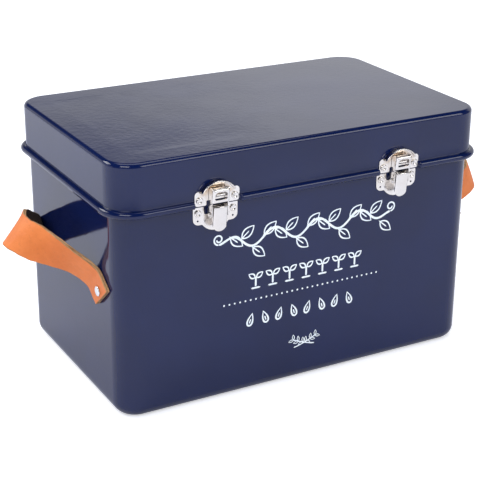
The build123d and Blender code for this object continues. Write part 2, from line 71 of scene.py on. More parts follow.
def openRun(points, radii, steps=6):
    # the same for a run with two loose ends: the ends are put back as they were
    ring = roundCorners(points, np.r_[0, radii, 0], steps)
    return ring


def held(run, near=(0.3, 1.6), least=6.0):
    # extra points close to both ends of every long straight stretch, so that smooth shading stays in the bends
    step = np.diff(run, axis=0)
    length = np.linalg.norm(step, axis=1, keepdims=True)
    share = np.hstack([0 * length, near[0] / length, near[1] / length, 1 - near[1] / length, 1 - near[0] / length])
    points = run[:-1, None] + share[..., None] * step[:, None]
    return np.vstack([points[(length > least) | (np.arange(5) == 0)], run[-1:]])


def circle(x, y, radius, steps=20, turn=1):
    a = np.linspace(0, turn * 2 * np.pi, steps, endpoint=False)
    return np.column_stack([x + radius * np.cos(a), y + radius * np.sin(a)])


def putMesh(name, points, faces, material, smooth=True, turnOut=True):
    mesh = bpy.data.meshes.new(name)
    mesh.from_pydata((np.asarray(points).reshape(-1, 3) * mm).tolist(), [], faces)
    if turnOut:
        work = bmesh.new()
        work.from_mesh(mesh)
        bmesh.ops.recalc_face_normals(work, faces=work.faces)
        work.to_mesh(mesh)
        work.free()
    for one in material if isinstance(material, (list, tuple)) else [material]:
        mesh.materials.append(one)
    mesh.polygons.foreach_set("use_smooth", np.full(len(mesh.polygons), smooth))
    piece = bpy.data.objects.new(name, mesh)
    bpy.context.scene.collection.objects.link(piece)
    return piece


def gridFaces(rows, cols, wrapRows=False, wrapCols=True, caps=(True, True), start=0):
    # quads between neighbours of a rows x cols net of points, and one face over each open end
    r = np.arange(rows if wrapRows else rows - 1)[:, None]
    c = np.arange(cols if wrapCols else cols - 1)[None, :]
    r2, c2 = (r + 1) % rows, (c + 1) % cols
    quads = np.stack([r * cols + c, r * cols + c2, r2 * cols + c2, r2 * cols + c], -1).reshape(-1, 4) + start
    faces = quads.tolist()
    if not wrapRows and wrapCols:
        if caps[0]:
            faces.append((np.arange(cols)[::-1] + start).tolist())
        if caps[1]:
            faces.append(((rows - 1) * cols + np.arange(cols) + start).tolist())
    return faces


def netPiece(name, nets, material, wrapRows=False, wrapCols=True, caps=(True, True), smooth=True):
    # one or more nets of points (rows, cols, 3) as one piece
    points, faces, start = [], [], 0
    for net in nets if isinstance(nets, list) else [nets]:
        faces += gridFaces(net.shape[0], net.shape[1], wrapRows, wrapCols, caps, start)
        points.append(net.reshape(-1, 3))
        start += net.shape[0] * net.shape[1]
    return putMesh(name, np.vstack(points), faces, material, smooth)


def welded(piece):
    # joins points that coincide, so that no face is left without an area
    work = bmesh.new()
    work.from_mesh(piece.data)
    bmesh.ops.remove_doubles(work, verts=work.verts, dist=1e-6)
    work.to_mesh(piece.data)
    work.free()
    return piece


def turned(profile, origin, axis, sideways, steps=28):
    # a profile (radius, height) turned about an axis: origin + r cos a * X + r sin a * Y + h * axis
    profile = np.asarray(profile, float)
    axis, sideways = np.asarray(axis, float), np.asarray(sideways, float)
    other = np.cross(axis, sideways)
    a = np.linspace(0, 2 * np.pi, steps, endpoint=False)
    round_ = np.cos(a)[:, None] * sideways + np.sin(a)[:, None] * other
    return np.asarray(origin, float) + profile[:, None, :1] * round_[None] + profile[:, None, 1:] * axis


def finished(piece, sheet=None, edge=None, offset=0.0):
    # gives a pattern its thickness and rounded edges, then keeps the result as a plain mesh
    if sheet:
        wall = piece.modifiers.new("sheet", "SOLIDIFY")
        wall.thickness, wall.offset, wall.use_even_offset = sheet * mm, offset, False
    if edge:
        soft = piece.modifiers.new("edge", "BEVEL")
        soft.width, soft.segments, soft.limit_method, soft.angle_limit = edge * mm, 3, "ANGLE", 0.9
        soft.use_clamp_overlap, soft.harden_normals = True, True
    graph = bpy.context.evaluated_depsgraph_get()
    made = bpy.data.meshes.new_from_object(piece.evaluated_get(graph), depsgraph=graph)
    old = piece.data
    piece.modifiers.clear()
    piece.data = made
    bpy.data.meshes.remove(old)
    piece.data.name = piece.name
    return piece


def joined(name, pieces):
    # several finished pieces made one, in one mesh
    work, materials = bmesh.new(), []
    for one in pieces:
        first = len(work.faces)
        work.from_mesh(one.data)
        work.faces.ensure_lookup_table()
        for face in work.faces[first:]:
            material = one.data.materials[face.material_index]
            if material not in materials:
                materials.append(material)
            face.material_index = materials.index(material)
    mesh = bpy.data.meshes.new(name)
    work.to_mesh(mesh)
    work.free()
    for material in materials:
        mesh.materials.append(material)
    for one in pieces:
        bpy.data.objects.remove(one)
    whole = bpy.data.objects.new(name, mesh)
    bpy.context.scene.collection.objects.link(whole)
    return whole


def insideLoops(spots, loops):
    # even-odd rule: a line from the spot to the right crosses the loops an odd number of times
    x, y, crossed = spots[:, :1], spots[:, 1:], np.zeros(len(spots), int)
    for loop in loops:
        a, b = loop, np.roll(loop, -1, 0)
        spans = (a[:, 1] > y) != (b[:, 1] > y)
        meets = a[:, 0] + (y - a[:, 1]) * (b[:, 0] - a[:, 0]) / np.where(spans, b[:, 1] - a[:, 1], 1)
        crossed += (spans & (x < meets)).sum(1)
    return crossed % 2 == 1


def cutSheet(name, outline, holes, fold, creases, sheet, edge, material):
    # a flat pattern (s, v) with holes, cut, creased along lines of equal s or v, then each point moved to fold(s, v)
    loops = [np.asarray(outline)] + [np.asarray(h) for h in holes]
    starts = np.cumsum([0] + [len(loop) for loop in loops])
    rims = [np.column_stack([np.arange(a, b), np.r_[np.arange(a + 1, b), a]]) for a, b in zip(starts, starts[1:])]
    flat = [Vector(p) for p in np.vstack(loops)]
    points, _, triangles, *_ = delaunay_2d_cdt(flat, np.vstack(rims).tolist(), [], 2, 1e-5)
    middles = np.array([[points[i] for i in triangle] for triangle in triangles]).mean(1)
    work = bmesh.new()
    corners = [work.verts.new((p[0], p[1], 0)) for p in points]
    for triangle, kept in zip(triangles, insideLoops(middles, loops)):
        if kept:
            work.faces.new([corners[i] for i in triangle])
    for along, stop in creases:
        at, facing = ((stop, 0, 0), (1, 0, 0)) if along == "s" else ((0, stop, 0), (0, 1, 0))
        bmesh.ops.bisect_plane(work, geom=work.verts[:] + work.edges[:] + work.faces[:], plane_co=at,
                               plane_no=facing)
    bmesh.ops.remove_doubles(work, verts=work.verts, dist=0.03)
    bmesh.ops.recalc_face_normals(work, faces=work.faces)
    pattern = bpy.data.meshes.new(name)
    work.to_mesh(pattern)
    work.free()
    co = np.zeros(len(pattern.vertices) * 3)
    pattern.vertices.foreach_get("co", co)
    co = co.reshape(-1, 3)
    faces = [list(face.vertices) for face in pattern.polygons]
    bpy.data.meshes.remove(pattern)
    piece = putMesh(name, fold(co[:, 0], co[:, 1]), faces, material, turnOut=False)
    return finished(piece, sheet, edge)


def settle(piece, body, slot, *nodes):
    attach(piece, body)
    if nodes:
        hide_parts(*nodes)
    return piece


# materials

def addNode(tree, kind, settings, inputs):
    made = tree.nodes.new("ShaderNode" + kind)
    for name, value in settings.items():
        setattr(made, name, value)
    for name, value in inputs.items():
        socket = made.inputs[name]
        if isinstance(value, bpy.types.NodeSocket):
            tree.links.new(value, socket)
        else:
            socket.default_value = value
    return made


def buildGroup(name, inputs, outputs, wire):
    group = bpy.data.node_groups.new(name, "ShaderNodeTree")
    for label, kind, value in inputs:
        socket = group.interface.new_socket(label, in_out="INPUT", socket_type="NodeSocket" + kind)
        if value is not None:
            socket.default_value = value
    for label, kind in outputs:
        group.interface.new_socket(label, in_out="OUTPUT", socket_type="NodeSocket" + kind)
    enter, leave = group.nodes.new("NodeGroupInput"), group.nodes.new("NodeGroupOutput")
    for label, socket in wire(group, enter.outputs).items():
        group.links.new(socket, leave.inputs[label])
    return group


def wireMottle(group, given):
    # noise between two values: low + (high - low) * soft step of the noise
    noise = addNode(group, "TexNoise", {}, {"Vector": given["Vector"], "Scale": given["Scale"],
                                           "Detail": given["Detail"], "Roughness": 0.6})
    step = addNode(group, "MapRange", {"interpolation_type": "SMOOTHSTEP"}, {
        "Value": noise.outputs["Fac"], "From Min": 0.3, "From Max": 0.7,
        "To Min": given["Low"], "To Max": given["High"]})
    return {"Value": step.outputs["Result"]}


def wireHairlines(group, given):
    # fine scratches: noise stretched along one direction, kept where it is strongest
    stretch = addNode(group, "Mapping", {}, {"Vector": given["Vector"], "Rotation": (0.5, 0.3, 0.9),
                                             "Scale": (1.0, 0.06, 0.06)})
    noise = addNode(group, "TexNoise", {}, {"Vector": stretch.outputs["Vector"], "Scale": given["Scale"],
                                           "Detail": 3.0})
    step = addNode(group, "MapRange", {}, {"Value": noise.outputs["Fac"], "From Min": 0.55, "From Max": 0.75,
                                           "To Min": 0.0, "To Max": given["Amount"]})
    return {"Value": step.outputs["Result"]}


mottle = buildGroup(
    "mottle", [("Vector", "Vector", None), ("Scale", "Float", 20.0), ("Detail", "Float", 3.0),
               ("Low", "Float", 0.0), ("High", "Float", 1.0)], [("Value", "Float")], wireMottle)
hairlines = buildGroup(
    "hairlines", [("Vector", "Vector", None), ("Scale", "Float", 300.0), ("Amount", "Float", 1.0)],
    [("Value", "Float")], wireHairlines)


def useGroup(tree, group, **inputs):
    made = tree.nodes.new("ShaderNodeGroup")
    made.node_tree = group
    for name, value in inputs.items():
        if isinstance(value, bpy.types.NodeSocket):
            tree.links.new(value, made.inputs[name])
        else:
            made.inputs[name].default_value = value
    return made.outputs[0]


def newMaterial(name, **plain):
    material = bpy.data.materials.new(name)
    material.use_nodes = True
    tree = material.node_tree
    shader = tree.nodes["Principled BSDF"]
    for label, value in plain.items():
        shader.inputs[label.replace("_", " ")].default_value = value
    place = tree.nodes.new("ShaderNodeTexCoord").outputs["Object"]
    return material, tree, shader, place


def between(tree, factor, low, high):
    mix = addNode(tree, "Mix", {"data_type": "RGBA"}, {0: factor, 6: low, 7: high})
    return mix.outputs[2]


def ramp(tree, factor, stops):
    # a value that changes evenly from stop to stop (position, value)
    made = addNode(tree, "ValToRGB", {}, {"Fac": factor})
    marks = made.color_ramp.elements
    marks.remove(marks[1])
    for n, (at, value) in enumerate(stops):
        mark = marks.new(at) if n else marks[0]
        mark.position, mark.color = at, (value, value, value, 1)
    return made.outputs["Color"]


def bumpInto(tree, shader, height, distance, strength=1.0, under=None):
    bump = addNode(tree, "Bump", {}, {"Height": height, "Distance": distance, "Strength": strength})
    if under is not None:
        tree.links.new(under, bump.inputs["Normal"])
    tree.links.new(bump.outputs["Normal"], shader.inputs["Normal"])
    return bump.outputs["Normal"]


paintLook = {"dark": (0.0024, 0.0078, 0.051, 1), "light": (0.0034, 0.0102, 0.064, 1), "peelScale": 230.0,
             "peelHeight": 0.000012, "waveScale": 26.0, "waveHeight": 0.00004}


def makePaint():
    # gloss coating: orange peel over slow waves of the sheet, very slight cloudiness in the colour
    material, tree, shader, place = newMaterial("navyEnamel", IOR=1.5)
    cloud = useGroup(tree, mottle, Vector=place, Scale=14.0, Detail=2.0)
    tree.links.new(between(tree, cloud, paintLook["dark"], paintLook["light"]), shader.inputs["Base Color"])
    haze = useGroup(tree, mottle, Vector=place, Scale=45.0, Detail=4.0, Low=0.07, High=0.12)
    tree.links.new(haze, shader.inputs["Roughness"])
    wave = useGroup(tree, mottle, Vector=place, Scale=paintLook["waveScale"], Detail=0.0)
    peel = useGroup(tree, mottle, Vector=place, Scale=paintLook["peelScale"], Detail=1.0)
    slow = bumpInto(tree, shader, wave, paintLook["waveHeight"])
    bumpInto(tree, shader, peel, paintLook["peelHeight"], under=slow)
    return material


def makePlate(name, color, warm, rough, scratch, recess=None):
    # bright plating: cloudy warmth, fingermark-dull patches and hairlines; where recess is given, a painted brown shade
    # and reflection is laid over it in a ring at a distance from the points (+-x, z), and only above a height
    material, tree, shader, place = newMaterial(name, Metallic=1.0)
    cloud = useGroup(tree, mottle, Vector=place, Scale=90.0, Detail=4.0, Low=0.0, High=0.6)
    tint = between(tree, cloud, color, warm)
    if recess:
        x, z, near, far, end, low, high = (value * mm for value in recess)
        side, _, up = addNode(tree, "SeparateXYZ", {}, {"Vector": place}).outputs
        side = addNode(tree, "Math", {"operation": "ABSOLUTE"}, {0: side}).outputs[0]
        from_ = addNode(tree, "VectorMath", {"operation": "SUBTRACT"}, {
            0: addNode(tree, "CombineXYZ", {}, {"X": side, "Y": up}).outputs[0], 1: (x, z, 0)}).outputs[0]
        away = addNode(tree, "VectorMath", {"operation": "LENGTH"}, {0: from_}).outputs["Value"]
        # mottle of the painted shade and reflection in the recess under the keeper's rim
        recessShadeMottle = useGroup(tree, mottle, Vector=place, Scale=260.0, Detail=4.0)
        ring = ramp(tree, away, ((0.0, 0.0), (near, 0.0), (far, 1.0), (end, 1.0), (end + 0.1 * mm, 0.0)))
        over = addNode(tree, "MapRange", {"interpolation_type": "SMOOTHSTEP"}, {
            "Value": up, "From Min": low, "From Max": high}).outputs["Result"]
        share = addNode(tree, "Math", {"operation": "MULTIPLY"}, {0: ring, 1: over}).outputs[0]
        # painted shade and reflection: dark to golden brown, in a ring under the rim
        tint = between(tree, share, tint, between(tree, recessShadeMottle, (0.26, 0.135, 0.05, 1), (0.72, 0.52, 0.30, 1)))
    tree.links.new(tint, shader.inputs["Base Color"])
    dull = useGroup(tree, mottle, Vector=place, Scale=160.0, Detail=5.0, Low=rough[0], High=rough[1])
    tree.links.new(dull, shader.inputs["Roughness"])
    lines = useGroup(tree, hairlines, Vector=place, Scale=2500.0, Amount=scratch)
    dents = useGroup(tree, mottle, Vector=place, Scale=220.0, Detail=2.0)
    slow = bumpInto(tree, shader, dents, 0.00006)
    bumpInto(tree, shader, lines, 0.000006, under=slow)
    return material


def makeLeather():
    # "skin" is 1 on the grain side, 0 on the flesh side, and between them on the cut edge;
    # the UV map runs along the strap (u) and round it (v)
    material, tree, shader, place = newMaterial("tanLeather", IOR=1.45)
    skin = addNode(tree, "Attribute", {"attribute_name": "skin"}, {}).outputs["Fac"]
    uv = addNode(tree, "UVMap", {}, {}).outputs["UV"]
    patches = useGroup(tree, mottle, Vector=place, Scale=38.0, Detail=5.0)
    grain = between(tree, patches, (0.68, 0.168, 0.030, 1), (0.79, 0.220, 0.051, 1))
    specks = useGroup(tree, mottle, Vector=place, Scale=420.0, Detail=4.0)
    darker = addNode(tree, "MapRange", {}, {"Value": specks, "From Min": 0.72, "From Max": 1.0,
                                            "To Min": 0.0, "To Max": 0.16}).outputs["Result"]
    grain = between(tree, darker, grain, (0.42, 0.11, 0.025, 1))
    nap = useGroup(tree, mottle, Vector=place, Scale=900.0, Detail=4.0)
    flesh = between(tree, nap, (0.045, 0.026, 0.016, 1), (0.21, 0.14, 0.095, 1))
    layers = addNode(tree, "Mapping", {}, {"Vector": uv, "Scale": (60.0, 900.0, 1.0)}).outputs["Vector"]
    fibre = useGroup(tree, mottle, Vector=layers, Scale=1.0, Detail=5.0)
    cut = between(tree, fibre, (0.24, 0.115, 0.045, 1), (0.78, 0.46, 0.23, 1))
    overCut = addNode(tree, "MapRange", {"interpolation_type": "SMOOTHSTEP"}, {
        "Value": skin, "From Min": 0.70, "From Max": 0.92}).outputs["Result"]
    underCut = addNode(tree, "MapRange", {"interpolation_type": "SMOOTHSTEP"}, {
        "Value": skin, "From Min": 0.06, "From Max": 0.24}).outputs["Result"]
    tree.links.new(between(tree, overCut, between(tree, underCut, flesh, cut), grain), shader.inputs["Base Color"])
    rough = addNode(tree, "MapRange", {}, {"Value": overCut, "To Min": 0.92, "To Max": 0.52}).outputs["Result"]
    tree.links.new(rough, shader.inputs["Roughness"])
    pores = addNode(tree, "TexVoronoi", {"feature": "DISTANCE_TO_EDGE"}, {"Vector": place, "Scale": 900.0})
    folds = useGroup(tree, mottle, Vector=place, Scale=120.0, Detail=4.0)
    slow = bumpInto(tree, shader, folds, 0.00025)
    fine = bumpInto(tree, shader, pores.outputs["Distance"], 0.00010, under=slow)
    fuzz = addNode(tree, "Math", {"operation": "MULTIPLY"}, {0: nap, 1: addNode(
        tree, "Math", {"operation": "SUBTRACT"}, {0: 1.0, 1: overCut}).outputs[0]}).outputs[0]
    bumpInto(tree, shader, fuzz, 0.0004, under=fine)
    return material


def makeInk():
    material, tree, shader, place = newMaterial("printInk", Roughness=0.42)
    cover = useGroup(tree, mottle, Vector=place, Scale=300.0, Detail=4.0)
    tree.links.new(between(tree, cover, (0.78, 0.87, 0.96, 1), (0.88, 0.94, 0.98, 1)), shader.inputs["Base Color"])
    bumpInto(tree, shader, cover, 0.00002)
    return material


def makeCard():
    # kraft card: short fibres and flecks
    material, tree, shader, place = newMaterial("kraftCard", Roughness=0.86)
    stretch = addNode(tree, "Mapping", {}, {"Vector": place, "Rotation": (0, 0.4, 0), "Scale": (1.0, 1.0, 0.2)})
    fibre = useGroup(tree, mottle, Vector=stretch.outputs["Vector"], Scale=900.0, Detail=5.0)
    body = between(tree, fibre, (0.56, 0.40, 0.24, 1), (0.70, 0.53, 0.34, 1))
    fleck = useGroup(tree, mottle, Vector=place, Scale=420.0, Detail=2.0)
    rare = addNode(tree, "MapRange", {}, {"Value": fleck, "From Min": 0.90, "From Max": 1.0,
                                          "To Min": 0.0, "To Max": 0.5}).outputs["Result"]
    tree.links.new(between(tree, rare, body, (0.25, 0.15, 0.08, 1)), shader.inputs["Base Color"])
    bumpInto(tree, shader, fibre, 0.00005)
    return material


def makeCardInk(name, low, high):
    material, tree, shader, place = newMaterial(name, Roughness=0.7)
    cover = useGroup(tree, mottle, Vector=place, Scale=700.0, Detail=5.0)
    tree.links.new(between(tree, cover, low, high), shader.inputs["Base Color"])
    return material


paint = makePaint()
nickel = makePlate("brightNickel", (0.88, 0.85, 0.825, 1), (0.82, 0.76, 0.70, 1), (0.13, 0.24), 0.5)
hingeNickel = makePlate("hingeNickel", (0.72, 0.71, 0.69, 1), (0.62, 0.60, 0.56, 1), (0.20, 0.32), 1.0)
rivetSteel = makePlate("rivetSteel", (0.84, 0.86, 0.88, 1), (0.74, 0.75, 0.76, 1), (0.16, 0.28), 0.8)
# keeper plate: bright plating with painted brown shade and reflection in the recess under its rim
shadedRecessPlating = makePlate("shadedRecessPlating", (0.88, 0.85, 0.825, 1), (0.82, 0.76, 0.70, 1), (0.13, 0.24), 0.5,
                        (75.0, 156.2, 9.6, 12.8, 14.3, 159.5, 163.0))
leather = makeLeather()
ink = makeInk()
card = makeCard()
numberInk = makeCardInk("numberInk", (0.020, 0.032, 0.075, 1), (0.030, 0.046, 0.100, 1))
ruleInk = makeCardInk("ruleInk", (0.12, 0.20, 0.13, 1), (0.18, 0.28, 0.18, 1))
print("materials made")


# camera, floor and light

cameraLook = {"place": (-469.93, -840.61, 472.37), "yaw": 29.434, "pitch": 22.176, "roll": 0.697,
              "focal": 1326.84, "centre": (251.65, 239.83), "frame": 480}


def placeCamera(look):
    yaw, pitch, roll = (math.radians(look[k]) for k in ("yaw", "pitch", "roll"))
    ahead = Vector((math.sin(yaw) * math.cos(pitch), math.cos(yaw) * math.cos(pitch), -math.sin(pitch)))
    level = ahead.cross(Vector((0, 0, 1))).normalized()
    upright = level.cross(ahead)
    right = math.cos(roll) * level + math.sin(roll) * upright
    up = right.cross(ahead)
    data = bpy.data.cameras.new("camera")
    data.sensor_width = 36.0
    data.lens = look["focal"] / look["frame"] * data.sensor_width
    data.shift_x = (look["frame"] / 2 - look["centre"][0]) / look["frame"]
    data.shift_y = (look["centre"][1] - look["frame"] / 2) / look["frame"]
    data.clip_start, data.clip_end = 0.05, 30
    camera = bpy.data.objects.new("camera", data)
    turn = Matrix((right, up, -ahead)).transposed().to_4x4()
    camera.matrix_world = Matrix.Translation(Vector(look["place"]) * mm) @ turn
    bpy.context.scene.collection.objects.link(camera)
    bpy.context.scene.camera = camera


def softBox(name, place, aim, size, power, color=(1, 1, 1)):
    data = bpy.data.lights.new(name, "AREA")
    data.shape, data.size, data.size_y, data.energy, data.color = "RECTANGLE", size[0], size[1], power, color
    lamp = bpy.data.objects.new(name, data)
    lamp.location = place
    lamp.rotation_euler = (Vector(aim) - Vector(place)).to_track_quat("-Z", "Y").to_euler()
    bpy.context.scene.collection.objects.link(lamp)
    return lamp


stageLook = {"floor": (0.80, 0.82, 0.90), "floorGlow": 0.50, "room": 0.62,
             "rim": ((0.0, 0.0), (0.47, 0.08), (0.53, 0.19), (1.0, 0.25)),
             "sweep": ((0.0, 0.80), (0.36, 0.80), (0.48, 1.04), (0.57, 1.04), (0.63, 0.80)),
             "fall": ((0.0, 1.0), (0.226, 1.0), (0.25, 0.46), (0.31, 0.30), (0.40, 0.03)),
             "behind": ((0.0, 0.12), (0.12, 1.0)), "lamps": (
                 ("keyLight", (-1.3, -1.2, 1.6), (0, 0, 0.1), (1.2, 1.0), 16),
                 ("fillLight", (1.1, -1.8, 1.15), (0, 0, 0.1), (1.3, 1.0), 14),
                 ("topLight", (0.2, 0.4, 2.0), (0, 0, 0.1), (1.6, 1.0), 10),
                 ("wallLight", (-1.0, 0.9, 1.0), (-0.55, 0.35, 0.0), (0.9, 0.6), 9))}


def makeStage(look):
    # floor: white to the camera apart from the object's own shadow
    size = 6000.0
    floor = putMesh("floor", [(-size, -size, -0.3), (size, -size, -0.3), (size, size, -0.3), (-size, size, -0.3)],
                    [[0, 1, 2, 3]], bpy.data.materials.new("floorPaper"), turnOut=False)
    material = floor.data.materials[0]
    material.use_nodes = True
    tree = material.node_tree
    shader = tree.nodes["Principled BSDF"]
    shader.inputs["Base Color"].default_value = (*look["floor"], 1)
    shader.inputs["Roughness"].default_value = 0.9
    shader.inputs["Specular IOR Level"].default_value = 0.0
    seen = tree.nodes.new("ShaderNodeLightPath").outputs
    glow = addNode(tree, "Math", {"operation": "MULTIPLY"}, {0: seen["Is Camera Ray"], 1: look["floorGlow"]}).outputs[0]
    shader.inputs["Emission Color"].default_value = (1, 1, 1, 1)
    tree.links.new(glow, shader.inputs["Emission Strength"])
    # world: white to the camera and low down in reflections, a dark ceiling above that, even light for the rest
    world = bpy.data.worlds.new("studio")
    bpy.context.scene.world = world
    world.use_nodes = True
    tree = world.node_tree
    sky = tree.nodes["Background"]
    seen = tree.nodes.new("ShaderNodeLightPath").outputs
    towards = tree.nodes.new("ShaderNodeTexCoord").outputs["Generated"]
    # the wall's brightness changes with the x of the direction and falls off above its rim and to the front
    across, along, up = addNode(tree, "SeparateXYZ", {}, {"Vector": towards}).outputs
    height = addNode(tree, "Math", {"operation": "SUBTRACT"}, {0: up, 1: ramp(tree, across, look["rim"])}).outputs[0]
    wall = addNode(tree, "Math", {"operation": "MULTIPLY"}, {0: ramp(tree, across, look["sweep"]),
                                                            1: ramp(tree, height, look["fall"])}).outputs[0]
    wall = addNode(tree, "Math", {"operation": "MULTIPLY"}, {0: wall, 1: ramp(tree, along, look["behind"])}).outputs[0]
    mirrored = addNode(tree, "Mix", {"data_type": "FLOAT"}, {0: seen["Is Glossy Ray"], 2: look["room"],
                                                          3: wall}).outputs[0]
    level = addNode(tree, "Mix", {"data_type": "FLOAT"}, {0: seen["Is Camera Ray"], 2: mirrored, 3: 1.0}).outputs[0]
    sky.inputs["Color"].default_value = (1, 1, 1, 1)
    tree.links.new(level, sky.inputs["Strength"])
    for lamp in look["lamps"]:
        softBox(*lamp)


placeCamera(cameraLook)
bpy.context.scene.view_settings.view_transform = "Standard"
makeStage(stageLook)
print("camera and light set")


# tub and lid: a profile (out, z) carried round a rounded rectangle

def rimPath(halfX, halfY, corner, alongX, alongY, turns=13):
    # skeleton points inside the rim and the outward direction at each; a point of the rim that stands
    # `out` outside it is skeleton + (corner + out) * direction
    sx, sy = halfX - corner, halfY - corner
    alongX, alongY = (np.unique(np.r_[run, np.outer((-1, 1), reach - np.array([0.3, 1.6])).ravel()])
                      for run, reach in ((alongX, sx), (alongY, sy)))
    quarter = np.linspace(0, np.pi / 2, turns + 1)[1:-1]
    skeleton, facing = [], []
    sides = (
        (np.column_stack([alongX, np.full(len(alongX), -sy)]), -np.pi / 2, (sx, -sy)),
        (np.column_stack([np.full(len(alongY), sx), alongY]), 0.0, (sx, sy)),
        (np.column_stack([alongX[::-1], np.full(len(alongX), sy)]), np.pi / 2, (-sx, sy)),
        (np.column_stack([np.full(len(alongY), -sx), alongY[::-1]]), np.pi, (-sx, -sy)),
    )
    for run, angle, turnAt in sides:
        skeleton += [run, np.tile(turnAt, (len(quarter), 1))]
        a = np.r_[np.full(len(run), angle), angle + quarter]
        facing.append(np.column_stack([np.cos(a), np.sin(a)]))
    return np.vstack(skeleton), np.vstack(facing)


def shellNet(path, corner, profile):
    # net[i, j] = skeleton j + (corner + out i) * direction j, at height z i
    skeleton, facing = path
    plan = skeleton[None] + (corner + profile[..., 0])[..., None] * facing[None]
    height = np.broadcast_to(profile[..., 1], plan.shape[:2])
    return np.concatenate([plan, height[..., None]], -1)


tubLook = {"halfX": 147.3, "halfY": 88.9, "corner": 17.3, "sheet": 0.8, "bottomRound": 9.8, "shoulder": 153.2,
           "neckInset": 3.3, "neckFoot": 156.5, "top": 189.0, "hemWidth": 2.2, "hemHeight": 2.4}


def makeTub(look):
    s, n, top = look["sheet"], look["neckInset"], look["top"]
    mid = -look["corner"]
    run = [(mid, 0), (0, 0), (0, look["shoulder"]), (-n, look["neckFoot"]), (-n, top),
           (-n - look["hemWidth"], top), (-n - look["hemWidth"], top - look["hemHeight"]),
           (-n - s, top - look["hemHeight"]), (-n - s, look["neckFoot"] - 0.3), (-s, look["shoulder"] - 0.3),
           (-s, s), (mid, s)]
    radii = [0, look["bottomRound"], 0.7, 1.2, 0.95, 0.95, 0.6, 0.3, 0.8, 0.8, look["bottomRound"] - s, 0]
    profile = roundCorners(run, radii, 12)
    profile = np.roll(profile, -np.argmin(np.abs(profile - (mid, 0)).sum(1)), 0)
    profile = held(np.vstack([profile, profile[:1]]))[:-1, None]
    alongX = np.linspace(-1, 1, 9) * (look["halfX"] - look["corner"])
    alongY = np.linspace(-1, 1, 7) * (look["halfY"] - look["corner"])
    path = rimPath(look["halfX"], look["halfY"], look["corner"], alongX, alongY)
    net = shellNet(path, look["corner"], profile)
    return settle(welded(netPiece("tubShell", net, paint)), "tub", "navy_enamel", "body_tub")


lidLook = {"halfX": 150.0, "halfY": 91.6, "corner": 20.0, "sheet": 0.8, "edge": 152.9, "bead": 2.7, "beadOut": 1.3,
           "top": 191.0, "topRound": 3.3, "keepers": 75.0, "keeperHalf": 17.6, "hinges": 80.0, "hingeHalf": 16.5,
           "wave": 0.10}


def makeLid(look):
    s, mid, top, edge = look["sheet"], -look["corner"], look["top"], look["edge"]
    r, out = look["bead"], look["beadOut"]
    beadZ = edge + r
    # inner wall, then under the rolled edge, round the wire, and back to the outer wall
    round_ = np.linspace(-np.pi / 2, np.pi / 2 + 0.36, 18)
    curl = np.column_stack([out + r * np.cos(round_), beadZ + r * np.sin(round_)])
    innerTop = roundCorners([(mid, top - s), (-s, top - s), (-s, edge)], [0, look["topRound"] - s, 0], 7)
    innerTop = innerTop[np.argsort(-innerTop[:, 1] + innerTop[:, 0] * 1e-3)]
    lip = np.array([(-s, edge + 0.45), (-0.62, edge + 0.12), (-0.3, edge)])
    outer = roundCorners([(0, beadZ + r - 0.1), (0, top), (mid, top)], [0, look["topRound"], 0], 14)
    outer = outer[np.argsort(outer[:, 1] - outer[:, 0] * 1e-3)]
    root = np.array([(0.12, beadZ + r - 0.12), (0.0, beadZ + r + 0.25)])
    outer = outer[outer[:, 1] > beadZ + r + 0.4]
    beaded = np.vstack([innerTop[innerTop[:, 1] > edge + 0.6], lip, curl, root, held(outer)])
    # the same run pressed flat, for behind the keepers and the hinges
    flat = beaded.copy()
    bent = (flat[:, 0] > -0.35) & (flat[:, 1] < beadZ + r + 0.3)
    rise = np.linspace(0, 1, bent.sum())
    flat[bent, 0] = -0.3 + 0.3 * np.clip(rise * 8, 0, 1)
    flat[bent, 1] = edge + 0.02 + rise**1.2 * (r * 2 + 0.2)
    reach = look["halfX"] - look["corner"]
    stops = [c + d for c in (look["keepers"] - look["keeperHalf"], look["keepers"] + look["keeperHalf"],
                             look["hinges"] - look["hingeHalf"], look["hinges"] + look["hingeHalf"])
             for d in (-1.2, -0.6, 0.0, 0.6, 1.2)]
    alongX = np.unique(np.r_[0.0, stops, np.linspace(0, reach, 12)])
    alongX = np.r_[-alongX[:0:-1], alongX]
    alongY = np.linspace(-1, 1, 9) * (look["halfY"] - look["corner"])
    skeleton, facing = rimPath(look["halfX"], look["halfY"], look["corner"], alongX, alongY)
    front, back = facing[:, 1] < -0.999, facing[:, 1] > 0.999
    far = np.abs(skeleton[:, 0])
    open_ = np.where(front, np.abs(far - look["keepers"]) - look["keeperHalf"],
                     np.where(back, np.abs(far - look["hinges"]) - look["hingeHalf"], 9.0))
    t = np.clip(open_ / 1.2 + 0.5, 0, 1)
    share = (t * t * (3 - 2 * t))[None, :, None]
    profile = flat[:, None] + share * (beaded - flat)[:, None]
    net = shellNet((skeleton, facing), look["corner"], profile)
    # the top goes on inwards to the middle, faintly wavy
    rings = np.linspace(1, 0, 26)[1:-1, None, None]
    panel = net[-1][None] * np.concatenate([rings, rings, np.ones_like(rings)], -1)
    x, y = panel[..., 0], panel[..., 1]
    waves = 0.5 + 0.25 * np.sin(x / 27 + 1.1 * np.sin(y / 33)) + 0.25 * np.sin(y / 21 + x / 61 + 0.8)
    inX, inY = (np.clip((half - np.abs(q) - 3.6) / 34, 0, 1) for half, q in ((look["halfX"], x), (look["halfY"], y)))
    panel[..., 2] -= look["wave"] * waves * (inX * inY) ** 2 * (3 - 2 * inX) * (3 - 2 * inY)
    panel[-1, :, 2] = panel[-1, :, 2].mean()
    under = panel[::-1].copy()
    under[..., 2] -= s
    shell = welded(netPiece("lidShell", np.concatenate([under, net, panel]), paint))
    return settle(shell, "lid", "navy_enamel", "lid_shell")


makeTub(tubLook)
makeLid(lidLook)
print("tub and lid made")

# latches

